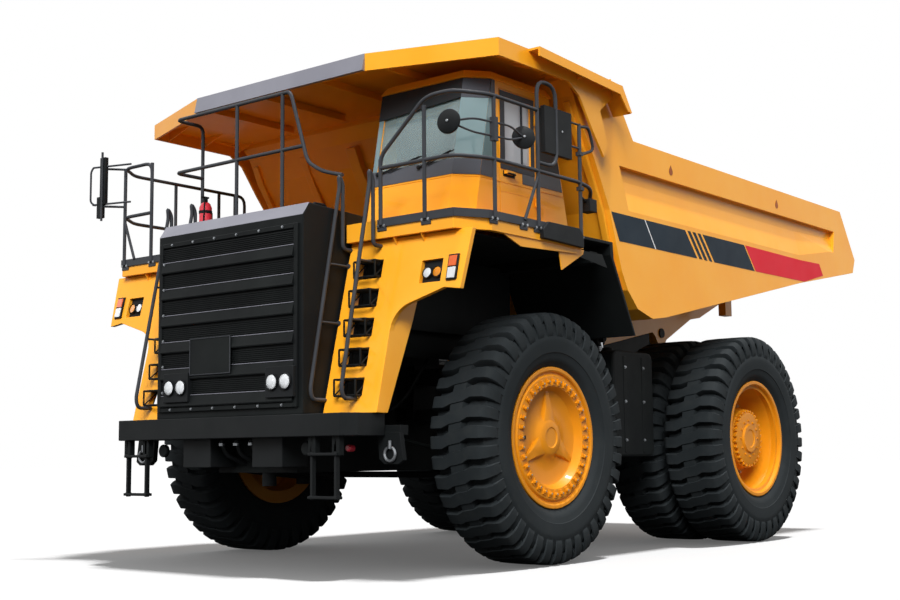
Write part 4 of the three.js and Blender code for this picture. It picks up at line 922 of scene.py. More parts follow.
@dataclass
class Grille:
    """The radiator's screen: six slatted louvres in a bolted frame, a blank plate and four lamps."""

    half: float = 1.02
    low: float = 1.70
    high: float = 3.44
    bands: int = 6
    slats: int = 8
    proud: float = 0.03
    border: float = 0.05
    cap_slope: tuple[float, float] = (0.095, 0.140)     # depth and height of the slope over the screen
    plate_low: tuple[float, float] = (-0.52, 2.02)
    plate_high: tuple[float, float] = (0.13, 2.42)
    lamp_pairs: tuple[float, float] = (-0.73, 0.86)
    lamp_height: float = 1.905

    def face(self) -> float:
        """Place of the housing's flat front, measured from the front axle."""
        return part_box("radiator_housing")[0].y - FRONT_AXLE.y

    def build(self) -> None:
        """Makes the screen and all that is on it."""
        dress(BLACK, 0.012, "radiator_housing", "engine_hood")
        self.screen()
        self.cap()
        self.bolts()
        self.plate()
        self.lamps()

    def screen(self) -> None:
        """Louvres with fine slats, in a raised frame, and a painted highlight along each blade's lip."""
        y, half, border = self.face(), self.half, self.border
        sides = Shape()
        for x0, x1, z0, z1 in ((-half, half, self.high, self.high + border),
                               (-half, half, self.low - border, self.low),
                               (-half - border, -half, self.low - border, self.high + border),
                               (half, half + border, self.low - border, self.high + border)):
            sides.box(at(x0, y - self.proud, z0), at(x1, y + 0.002, z1))
        sides.piece("grille_frame", BLACK, bevel=0.006)
        pitch = (self.high - self.low) / self.bands
        blade_top = pitch * 0.42
        slat_pitch = pitch * 0.55 / self.slats
        slat, blade = Shape(), Shape()
        for k in range(self.slats):
            self.bar(slat, [(y, slat_pitch * (k + z)) for y, z in
                            ((-0.020, 0), (-0.020, 0.55), (0.002, 0.8), (0.002, 0.2))])
        self.bar(blade,
                 [(0.002, 0), (-0.046, 0.004), (-0.052, 0.016), (-0.024, blade_top), (0.002, pitch * 0.44)])
        # A thin light strip along each blade's lip: a painted highlight where the edge catches the light.
        edge = Shape().box(vec(-half, -0.029, blade_top), vec(half, -0.020, blade_top + 0.006))
        step = vec(0, 0, pitch)
        row(slat, self.bands, at(0, y, self.low + blade_top), step, "grille_slats", BLACK)
        row(blade, self.bands, at(0, y, self.low), step, "grille_blades", BLACK, 20)
        row(edge, self.bands, at(0, y, self.low), step, "grille_edges", SILVER)

    def bar(self, shape: Shape, outline: Outline) -> None:
        """Adds a bar as wide as the screen, from its outline of (y, z) points."""
        shape.prism([vec(-self.half, y, z) for y, z in outline], vec(2 * self.half, 0, 0))

    def cap(self) -> None:
        """Light strip on the slope over the screen, and filler caps and two small hoops of tube behind it."""
        low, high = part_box("radiator_housing")
        y = self.face()
        slope = vec(0, *self.cap_slope)
        lift = slope.cross(LEFT).normalized() * -0.004
        start = at(low.x + 0.004, y, high.z) - vec(0, 0, slope.z) + slope * 0.03
        shape = Shape().prism([start, start + slope * 0.95, start + slope * 0.95 + lift, start + lift],
                              vec(high.x - low.x - 0.008, 0, 0))
        shape.piece("radiator_cap_strip", SILVER, bevel=0.002)
        post = Shape()
        for x in (-0.95, 0.95):
            post.tube([at(x, -2.16, 3.68), at(x, -2.16, 3.75), at(x, -1.98, 3.75), at(x, -1.98, 3.68)], 0.014)
        post.disc(at(0.30, -2.15, 3.685), UP, 0.11, 0.05, 24, 0.01)
        post.disc(at(-0.10, -2.10, 3.685), UP, 0.13, 0.05, 24, 0.01)
        post.piece("radiator_filler_caps", BLACK, smooth=30)

    def bolts(self) -> None:
        """Bright bolts round the screen."""
        y = self.face() - self.proud
        aside, upwards = vec(0.344, 0, 0), vec(0, 0, 0.28)
        for name, start, step in (("top", at(-0.86, y, self.high + self.border / 2), aside),
                                  ("bottom", at(-0.86, y, self.low - self.border / 2), aside),
                                  ("right", at(-self.half + 0.03, y, self.low + 0.16), upwards)):
            seed = Shape().hexagon(vec(0, 0, 0), AHEAD, 0.012, 0.01)
            row(seed, 6, start, step, f"grille_bolts_{name}", ZINC)

    def plate(self) -> None:
        """Blank number-plate carrier."""
        y = self.face() - 0.052
        (x0, z0), (x1, z1) = self.plate_low, self.plate_high
        shape = Shape().box(at(x0, y - 0.006, z0), at(x1, y, z1))
        shape.piece("grille_plate", BLACK, bevel=0.004)
        edge = Shape()
        inset = 0.01
        corners = [at(x, y - 0.008, z) for x, z in ((x0 + inset, z0 + inset), (x1 - inset, z0 + inset),
                                                    (x1 - inset, z1 - inset), (x0 + inset, z1 - inset))]
        for start, end in zip(corners, corners[1:] + corners[:1]):
            edge.tube([start, end], 0.005, 6)
        edge.piece("grille_plate_edge", RAIL)

    def lamps(self) -> None:
        """Two pairs of round headlamps in black carriers."""
        y = self.face()
        carrier, bowls, lenses = Shape(), Shape(), Shape()
        for pair in self.lamp_pairs:
            z, deep = self.lamp_height, 0.070
            carrier.box(at(pair - 0.20, y - deep, z - 0.155), at(pair + 0.20, y, z + 0.155))
            for x in (pair - 0.094, pair + 0.094):
                for shape, profile in (
                        (carrier, [(0.0, 0.088), (0.022, 0.086), (0.026, 0.076), (0.004, 0.070)]),
                        (bowls, [(0.003, 0.0), (0.003, 0.03), (0.012, 0.072), (0.0, 0.074), (0.0, 0.0)]),
                        (lenses,
                         [(0.013, 0.0), (0.013, 0.074), (0.020, 0.070), (0.030, 0.04), (0.034, 0.0)])):
                    shape.turn(profile, at(x, y - deep, z), AHEAD, 32)
        carrier.piece("headlamp_carriers", PLASTIC, bevel=0.006, smooth=30)
        bowls.piece("headlamp_bowls", MIRROR, smooth=40)
        lenses.piece("headlamp_lenses", LENS, smooth=50)


@dataclass
class Bumper:
    """The bumper beam, its tow plates and shackles, and the hoses behind it."""

    def build(self) -> None:
        """Makes everything on and under the bumper."""
        dress(BUMPER, 0.014, "front_bumper")
        self.shackle()
        self.hoses()

    def shackle(self) -> None:
        """Tow plate and bright shackle on each side, with a red plug beside them."""
        plate, bow, plug = Shape(), Shape(), Shape()
        x, y, z, radius = 1.89, -2.05, 1.18, 0.068
        outline = [(1.70, 1.40), (2.00, 1.39), (2.04, 1.12), (1.98, 1.08), (1.80, 1.08), (1.73, 1.13)]
        plate.prism([at(px, -2.03, pz) for px, pz in outline], vec(0, 0.06, 0))
        plate.box(at(1.20, -2.02, 1.36), at(2.0, -1.90, 1.46))
        for px in (1.225, 1.545):
            plate.box(at(px, -2.50, 1.17), at(px + 0.10, -2.43, 1.37))
        plate.disc(at(1.10, -2.36, 1.24), AHEAD, 0.07, 0.05, 24, 0.01)
        around = [math.radians(115 + 310 * k / 14) for k in range(15)]
        bow.tube([at(x + radius * math.cos(a), y, z + radius * math.sin(a)) for a in around], 0.016, 12, 0.01)
        bow.tube([at(x, y, z + 0.05), at(x, y, z + 0.13)], 0.018, 12)
        plug.disc(at(1.56, -2.22, 1.24), AHEAD, 0.034, 0.08, 20, 0.01)
        plate.mirrored().piece("tow_plates", BLACK, bevel=0.006)
        bow.mirrored().piece("tow_shackles", ZINC, smooth=40)
        plug.piece("air_plug", RED, bevel=0.002)

    def hoses(self) -> None:
        """Hoses that run back under the radiator."""
        hoses, clamps = Shape(), Shape()
        for k in range(5):
            x = -0.72 + 0.23 * k
            path = [at(x + shift, y, z) for shift, y, z in (
                (0, -2.30, 1.345), (0.02, -2.26, 1.19), (0.10, -1.95, 1.06), (0.18, -1.50, 0.99),
                (-x / 2, -0.90, 0.93))]
            hoses.tube(path, 0.026, 10, 0.25)
            clamps.disc(path[0] + vec(0, 0, -0.06), UP, 0.036, 0.03, 16, 0.004)
        hoses.piece("front_hoses", PLASTIC, smooth=50)
        clamps.piece("front_hose_clamps", ZINC, smooth=40)
        drum = Shape().disc(at(0.10, -1.95, 0.86), UP, 0.075, 0.20, 24, 0.012)
        drum.piece("filter_drum", CAST, smooth=40)


@dataclass
class Fenders:
    """Front fenders with lamps in their recess and a marker lamp beside it."""

    lean: float = 0.241
    foot: float = -2.222
    low: float = 1.578
    lamps: float = 2.93

    def face(self, z: float) -> float:
        """Place of the fender's leaning face at a height."""
        return self.foot + (z - self.low) * self.lean

    def leaned(self, x0: float, x1: float, z0: float, z1: float, out: float,
               depth: float) -> list[list[Vector]]:
        """Two rings of a panel that leans with the fender's face.

        Args:
            x0: Inner edge.
            x1: Outer edge.
            z0: Lower edge.
            z1: Upper edge.
            out: How far the panel stands in front of the face.
            depth: Its depth behind that.

        Returns:
            Front and back rings.
        """
        corners = ((x0, z0), (x1, z0), (x1, z1), (x0, z1))
        return [[at(x, self.face(z) - reach, z) for x, z in corners] for reach in (out, out - depth)]

    def build(self) -> None:
        """Makes the lamps on both fenders."""
        dress(YELLOW, 0.008, "fender_left", "fender_right")
        back, rims, white, amber, orange, marker = (Shape() for _ in range(6))
        axis = vec(0, -1, 0.24).normalized()
        back.loft(self.leaned(2.165, 2.425, 2.835, 3.055, -0.044, 0.005))
        for x, lens in ((2.235, white), (2.358, amber)):
            centre = at(x, self.face(self.lamps) + 0.040, self.lamps)
            back.turn([(0.0, 0.060), (0.028, 0.060), (0.032, 0.053), (0.004, 0.050)], centre, axis, 28)
            lens.turn([(0.004, 0.0), (0.004, 0.052), (0.022, 0.050), (0.030, 0.03), (0.033, 0.0)], centre,
                      axis, 28)
        rims.loft(self.leaned(2.51, 2.635, 2.83, 3.085, 0.022, 0.03))
        orange.loft(self.leaned(2.525, 2.62, 2.965, 3.07, 0.032, 0.02))
        marker.loft(self.leaned(2.525, 2.62, 2.845, 2.955, 0.032, 0.02))
        for shape, name, finish, bevel in (
                (back, "fender_lamp_bezels", PLASTIC, 0.0), (white, "fender_lamps_white", LENS, 0.0),
                (amber, "fender_lamps_amber", AMBER, 0.0), (rims, "marker_frames", PLASTIC, 0.006),
                (orange, "marker_lenses_orange", ORANGE, 0.006),
                (marker, "marker_lenses_white", LENS, 0.006)):
            shape.mirrored().piece(name, finish, bevel=bevel, smooth=40)


@dataclass
class Ladders:
    """Step frames in the fenders' openings, with two bent handrails to a side."""

    steps: int = 5
    pitch: float = 0.30
    first: float = 1.74
    height: float = 0.19
    inner: float = 1.33
    outer: float = 1.64
    tube: float = 0.021
    top: float = 3.93            # height where the handrails start to bend over

    def build(self) -> None:
        """Makes both ladders."""
        fender = Fenders()
        for side in SIDES:
            rails, frames = Shape(), Shape()
            self.handrails(rails, fender)
            for k in range(self.steps):
                self.step(frames, fender, self.first + k * self.pitch)
            for shape in (rails, frames):
                for vert in shape.mesh.verts:
                    vert.co.x *= side
            name = f"ladder_{side_name(side)}"
            rails.piece(f"{name}_handrails", RAIL, smooth=50, replaces=[name])
            frames.piece(f"{name}_steps", BLACK, bevel=0.003)

    def out(self, z: float) -> float:
        """How far a handrail stands in front of the fender at a height."""
        return 0.24 + 0.09 * (z - 1.79) / 2.14

    def handrails(self, shape: Shape, fender: Fenders) -> None:
        """Adds the two handrails and their stays."""
        foot, bend, end, behind = 1.72, 1.82, 3.27, -1.94
        for x in (self.inner - 0.17, self.outer - 0.06):
            shape.tube([
                at(x, fender.face(foot + 0.02) - 0.01, foot),
                at(x, fender.face(foot) - self.out(foot) + 0.05, foot),
                at(x, fender.face(bend) - self.out(bend), bend),
                at(x, fender.face(self.top) - self.out(self.top), self.top),
                at(x, behind - 0.065, self.top + 0.11), at(x, behind, self.top + 0.03), at(x, behind, end),
                at(x, fender.face(end), end),
            ], self.tube, 10, 0.08)
            for z in (2.50, 3.10):
                shape.tube([at(x, fender.face(z) + 0.005, z), at(x, fender.face(z) - self.out(z), z)], 0.012,
                           8)
                shape.disc(at(x, fender.face(z), z), AHEAD, 0.03, 0.008, 12)

    def step(self, shape: Shape, fender: Fenders, low: float) -> None:
        """Adds one step: an open frame that stands out of its opening, with a gripping tread.

        Args:
            shape: Shape that gets the step.
            fender: Fender that carries it.
            low: Height of the opening's lower edge.
        """
        y = fender.face(low)
        top = low + self.height - 0.005
        bar = 0.016
        x0, x1 = self.inner + 0.012, self.outer - 0.012
        out, back = y - 0.075, y + 0.125
        corners = [(x0, out), (x1, out), (x1, back), (x0, back)]
        for z in (low + 0.012, top - 0.012):
            for (ax, ay), (bx, by) in zip(corners, corners[1:] + corners[:1]):
                shape.tube([at(ax, ay, z), at(bx, by, z)], bar * 0.7, 6)
        for ax, ay in corners:
            shape.tube([at(ax, ay, low + 0.012), at(ax, ay, top - 0.012)], bar * 0.7, 6)
        for x in (x0, x1):
            shape.tube([at(x, out, low + 0.012), at(x, back, top - 0.012)], bar * 0.5, 6)
        for k in range(9):
            slat = out + 0.012 + k * 0.021
            shape.box(at(x0, slat, top - 0.02), at(x1, slat + 0.006, top - 0.004))


# ------------------------------------------------------------------ decks and rails


@dataclass
class Railings:
    """Round-tube railings with bolted feet, toe boards and mirrors."""

    tube: float = 0.021
    post_x: float = 2.774
    front: float = -1.904
    corner: float = -1.56        # rear end of the deck's slanted corner
    gap: float = 0.024           # from the deck's edge to the middle of a post
    mid: float = 4.05
    top_left: float = 4.69
    top_right: float = 4.65
    first_left: float = 1.65     # post beside the left ladder
    first_right: float = -1.995
    second_right: float = -2.50

    def build(self) -> None:
        """Makes the three railings."""
        self.left()
        self.right()
        self.over_radiator()
        self.mirrors_left()
        self.mirrors_right()

    def foot(self, plates: Shape, bolts: Shape, place: Vector, out: Vector) -> None:
        """Adds the bracket of one post, with two bright bolts.

        Args:
            plates: Shape of the dark plates.
            bolts: Shape of the bolts.
            place: Middle of the deck's edge at the post.
            out: Direction away from the deck.
        """
        across = vec(-out.y, out.x, 0)
        low = place - across * 0.062 - out * 0.004 + vec(0, 0, -0.12)
        outline = [low, low + across * 0.124, low + across * 0.124 + vec(0, 0, 0.12), low + vec(0, 0, 0.12)]
        plates.prism(outline, out * 0.014)
        for shift in (-0.04, 0.04):
            bolts.hexagon(place + across * shift + out * 0.010 + vec(0, 0, -0.07), out, 0.016, 0.014)

    def posts(self, tubes: Shape, plates: Shape, bolts: Shape, tops: Sequence[Vector], out: Vector) -> None:
        """Adds posts outside the deck's edge, each with its bracket.

        Args:
            tubes: Shape of the tubes.
            plates: Shape of the dark plates.
            bolts: Shape of the bolts.
            tops: Upper ends of the posts.
            out: Direction away from the deck.
        """
        for top in tops:
            tubes.tube([vec(top.x, top.y, DECK_TOP - 0.06), top], self.tube)
            edge = top - out * self.gap
            self.foot(plates, bolts, vec(edge.x, edge.y, DECK_TOP), out)

    def left(self) -> None:
        """Railing round the cab's deck."""
        x, y, rail, first, corner = self.post_x, self.front, self.tube, self.first_left, self.corner
        top, mid, centre, brace = self.top_left, self.mid, -0.74, -0.98
        tubes, plates, bolts, toe = (Shape() for _ in range(4))
        self.posts(tubes, plates, bolts, [at(first, y, 4.14), at(2.23, y, 4.60)], AHEAD)
        self.posts(tubes, plates, bolts, [at(x, -1.48, top), at(x, centre, 4.78), at(x, 0.04, top)], LEFT)
        tubes.tube([at(first, y, 4.0), at(first, y, 4.17), at(2.22, y, 4.66), at(2.34, y, top),
                    at(2.59, y, top),
                    at(x, corner, top), at(x, centre, top)], rail, 12, 0.10)
        tubes.tube([at(first, y, mid), at(2.59, y, mid), at(x, corner, mid), at(x, 0.04, mid),
                    at(x - 0.02, 0.30, mid - 0.03), at(x - 0.22, 0.52, mid - 0.16)], rail, 12, 0.12)
        tubes.tube([at(x, centre, 4.0), at(x, brace, DECK_TOP - 0.02)], rail * 0.8)
        self.foot(plates, bolts, at(x - self.gap, brace, DECK_TOP), LEFT)
        tubes.tube([at(x, centre, 4.72), at(x, centre, 5.01), at(x, -0.40, 5.01), at(x, -0.40, 4.14),
                    at(x, centre, 4.14)], rail, 12, 0.16)
        tubes.tube([at(x, 0.04, 4.66), at(x - 0.02, 0.26, 4.70), at(x - 0.05, 0.40, 4.47),
                    at(x - 0.05, 0.20, 4.40),
                    at(x, 0.06, 4.36)], rail * 0.8, 10, 0.08)
        for z in (4.36, 3.98):
            tubes.box(at(x - 0.03, 0.01, z - 0.02), at(x + 0.03, 0.07, z + 0.02))
        self.toe_board(toe,
                       [(first - 0.04, y + 0.012), (2.58, y + 0.012), (x - 0.012, corner), (x - 0.012, 0.06)])
        self.finish_railing("left", tubes, toe, plates, bolts)

    def toe_board(self, shape: Shape, path: Outline) -> None:
        """Adds a strip of plate that stands on edge along the deck's rim."""
        thick = 0.005
        for (ax, ay), (bx, by) in zip(path, path[1:]):
            start, end = at(ax, ay, DECK_TOP - 0.078), at(bx, by, DECK_TOP - 0.078)
            across = (end - start).cross(UP).normalized() * thick
            shape.prism([start - across, end - across, end + across, start + across], vec(0, 0, 0.085))

    def right(self) -> None:
        """Railing round the open deck."""
        x, y, rail, corner = -self.post_x, self.front, self.tube, self.corner
        first, second, last, top, mid = self.first_right, self.second_right, 0.09, self.top_right, self.mid
        tubes, plates, bolts, toe = (Shape() for _ in range(4))
        self.posts(tubes, plates, bolts, [at(px, y, top) for px in (first, second)], AHEAD)
        self.posts(tubes, plates, bolts, [at(x, py, top - 0.02) for py in (-0.91, -0.19, last)], -LEFT)
        tubes.tube([at(first, y, 4.2), at(first, y, top), at(second, y, top), at(x, corner, top),
                    at(x, 0.26, top), at(x, 0.26, mid), at(x, last, mid)], rail, 12, 0.12)
        tubes.tube([at(first, y, mid), at(second, y, mid), at(x, corner, mid), at(x, last, mid)], rail, 12,
                   0.12)
        tubes.tube([at(second, y, 4.0), at(-2.31, y, DECK_TOP)], rail * 0.8)
        self.toe_board(toe, [(-1.17, y + 0.012), (-2.57, y + 0.012), (x + 0.012, corner), (x + 0.012, last)])
        self.finish_railing("right", tubes, toe, plates, bolts)

    def finish_railing(self, side: str, tubes: Shape, toe: Shape, plates: Shape, bolts: Shape) -> None:
        """Turns the four shapes of one side's railing into pieces."""
        tubes.piece(f"railing_{side}_tubes", RAIL, smooth=50, replaces=[f"railing_{side}"])
        toe.piece(f"railing_{side}_toe_board", RAIL, bevel=0.002)
        plates.piece(f"railing_{side}_feet", RAIL, bevel=0.003)
        bolts.piece(f"railing_{side}_bolts", ZINC)

    def over_radiator(self) -> None:
        """High guard in front of the canopy, bent down to the left ladder."""
        x, y, top, mid, back, foot = -1.56, -1.90, 5.09, 4.46, -1.50, 3.68
        tubes = Shape()
        tubes.tube([at(x, back, DECK_TOP), at(x, back, top), at(x, y, top), at(0.32, y, top),
                    at(0.36, y, 5.04),
                    at(0.55, y, 4.45), at(0.61, y, 4.27), at(0.83, y, 4.14), at(1.12, y, 4.06)],
                   self.tube, 12, 0.09)
        tubes.tube([at(x, back, mid), at(x, y, mid), at(0.545, y, mid)], self.tube, 12, 0.09)
        for x in (-0.51, 0.22):
            tubes.tube([at(x, y, foot), at(x, y, top)], self.tube)
            tubes.disc(at(x, y, foot), UP, 0.05, 0.012, 16)
        for x in (-1.30, -1.02):
            tubes.tube([at(x, -1.84, DECK_TOP), at(x, -1.84, 3.84), at(x, -1.64, 3.84),
                        at(x, -1.64, DECK_TOP)],
                       0.016, 10, 0.09)
        tubes.piece("railing_front_tubes", RAIL, smooth=50, replaces=["railing_front"])

    def mirrors_left(self) -> None:
        """Two round mirrors on stays and one tall mirror, their dark backs to the front."""
        x = self.post_x
        arms, backs, faces, bolts = Shape(), Shape(), Shape(), Shape()
        clamp = at(x, -1.48, 4.35)
        arms.box(clamp + vec(-0.03, -0.03, -0.12), clamp + vec(0.03, 0.03, 0.12))
        for centre, axis, radius in ((at(2.56, -1.93, 4.38), vec(0.2, -1, 0.05), 0.125),
                                     (at(2.76, -0.96, 4.365), vec(0.75, -0.62, 0.1), 0.122)):
            way = axis.normalized()
            for lift in (-0.07, 0.07):
                arms.tube([clamp + vec(0, 0, lift), (clamp + centre) / 2 + vec(0.02, 0, lift),
                           centre - way * 0.012], 0.011, 8, 0.08)
            backs.turn([(-0.02, 0.0), (-0.02, radius), (0.0, radius), (0.010, radius - 0.012), (0.024, 0.03),
                        (0.026, 0.0)], centre, way, 40)
            faces.disc(centre - way * 0.021, -way, radius - 0.01, 0.003, 40)
            bolts.disc(centre + way * 0.024, way, 0.014, 0.012, 12, 0.003)
        backs.box(at(x - 0.045, -0.62, 4.27), at(x + 0.012, -0.12, 4.77))
        faces.box(at(x - 0.049, -0.605, 4.285), at(x - 0.045, -0.135, 4.755))
        for z in (4.42, 4.68):
            arms.tube([at(x, -0.40, z), at(x, -0.06, z), at(x, 0.04, z)], 0.012, 8)
        bolts.disc(at(x + 0.012, -0.30, 4.54), LEFT, 0.012, 0.006, 12, 0.002)
        self.finish_mirrors("left", arms, backs, faces, bolts)

    def mirrors_right(self) -> None:
        """Tall mirror on bars in front of the right deck's corner."""
        y = self.front
        arms, backs, faces, bolts = Shape(), Shape(), Shape(), Shape()
        backs.box(at(-2.72, -2.12, 4.20), at(-2.62, -2.07, 4.78))
        backs.box(at(-2.76, -2.13, 4.04), at(-2.66, -2.08, 4.30))
        faces.box(at(-2.71, -2.07, 4.22), at(-2.63, -2.066, 4.76))
        for z in (4.18, 4.64):
            arms.tube([at(-2.50, y, z), at(-2.56, y - 0.08, z), at(-2.66, -2.10, z)], 0.014, 8, 0.03)
            arms.tube([at(-2.82, -2.14, z + 0.03), at(-2.30, -1.98, z + 0.03)], 0.012, 8)
        arms.tube([at(-2.66, -2.13, 4.0), at(-2.66, -2.13, 4.84)], 0.014, 8)
        arms.tube([at(-2.82, -2.14, 4.67), at(-2.84, -2.16, 4.62), at(-2.84, -2.16, 4.24),
                   at(-2.78, -2.13, 4.20)],
                  0.012, 8, 0.04)
        bolts.disc(at(-2.67, -2.12, 4.50), AHEAD, 0.014, 0.008, 12, 0.002)
        self.finish_mirrors("right", arms, backs, faces, bolts)

    def finish_mirrors(self, side: str, arms: Shape, backs: Shape, faces: Shape, bolts: Shape) -> None:
        """Turns the four shapes of one side's mirrors into pieces."""
        arms.piece(f"mirror_arms_{side}", RAIL, smooth=50)
        backs.piece(f"mirror_backs_{side}", PLASTIC, bevel=0.004, smooth=40)
        faces.piece(f"mirror_faces_{side}", MIRROR)
        bolts.piece(f"mirror_bolts_{side}", ZINC)


@dataclass
class Decks:
    """Walkways over the front wheels, with gussets, grip bars, a step box, dark sheets for the bay's parts
    and painted shade, and wheel arches.
    """

    def build(self) -> None:
        """Makes the trim of decks and arches."""
        dress(YELLOW, 0.008, "deck_left", "deck_right")
        dress(BLACK, 0.006, "arch_left", "arch_right")
        self.gussets()
        self.tread_plates()
        self.locker()
        self.splash_panels()

    def splash_panels(self) -> None:
        """Dark sheets beside the engine and under the decks, which hide the bay from the side: they stand for
        the bay's dark parts and are painted shade under the decks and in the bay.
        """
        shape = Shape()
        for low, high in (((1.245, -1.80, 2.50), (1.255, 0.80, 3.32)),
                          ((1.130, -1.80, 2.22), (1.140, 0.80, 2.52)),
                          ((1.20, -1.55, 3.315), (2.60, 0.25, 3.325))):
            shape.box(at(*low), at(*high))
        shape.prism([at(2.60, 0.12, 3.36), at(2.60, 0.70, 3.36), at(2.60, 0.80, 3.22), at(2.60, 0.12, 3.30)],
                    vec(0.012, 0, 0))
        shape.mirrored().piece("splash_panels", BLACK)

    def gussets(self) -> None:
        """Brackets between the fender and the deck's underside."""
        shape = Shape()
        low = DECK_TOP - 0.19
        small = [(-1.87, 0), (-1.67, 0), (-1.80, 0.11)]
        for x, outline in ((1.78, small), (2.14, small),
                           (2.72, [(-1.30, 0), (0.02, 0), (0.02, 0.06), (-1.0, 0.10)]),
                           (2.70, [(-0.31, 0), (0.18, 0), (0.16, 0.05), (-0.25, 0.26)])):
            shape.prism([at(x, y, low - drop) for y, drop in outline], vec(0.014, 0, 0))
        shape.mirrored().piece("deck_gussets", YELLOW, bevel=0.002)

    def tread_plates(self) -> None:
        """Raised gripping bars on the decks' walkways."""
        for side in SIDES:
            seed = Shape()
            x0, x1 = sorted((side * 1.30, side * 2.55))
            seed.box(vec(x0, 0, 0), vec(x1, 0.010, 0.004))
            row(seed, 8, at(0, -1.83, DECK_TOP), vec(0, 0.035, 0), f"deck_grip_{side_name(side)}", YELLOW)

    def locker(self) -> None:
        """Black step box at the left deck's rear corner, with a work lamp over it."""
        shape, lens = Shape(), Shape()
        outline = [(-0.70, 3.36), (0.05, 3.34), (0.05, 3.47), (-0.02, 3.54), (-0.60, 3.54), (-0.70, 3.45)]
        shape.prism([at(2.752, y, z) for y, z in outline], vec(0.05, 0, 0))
        shape.box(at(2.66, 0.20, 3.76), at(2.79, 0.34, 3.90))
        shape.tube([at(2.774, 0.04, 3.90), at(2.75, 0.14, 3.88), at(2.72, 0.24, 3.86)], 0.016, 8, 0.05)
        lens.box(at(2.67, 0.34, 3.775), at(2.78, 0.346, 3.885))
        shape.piece("deck_locker", PLASTIC, bevel=0.012)
        lens.piece("work_lamp_lens", LENS, bevel=0.002)


# ------------------------------------------------------------------ cab


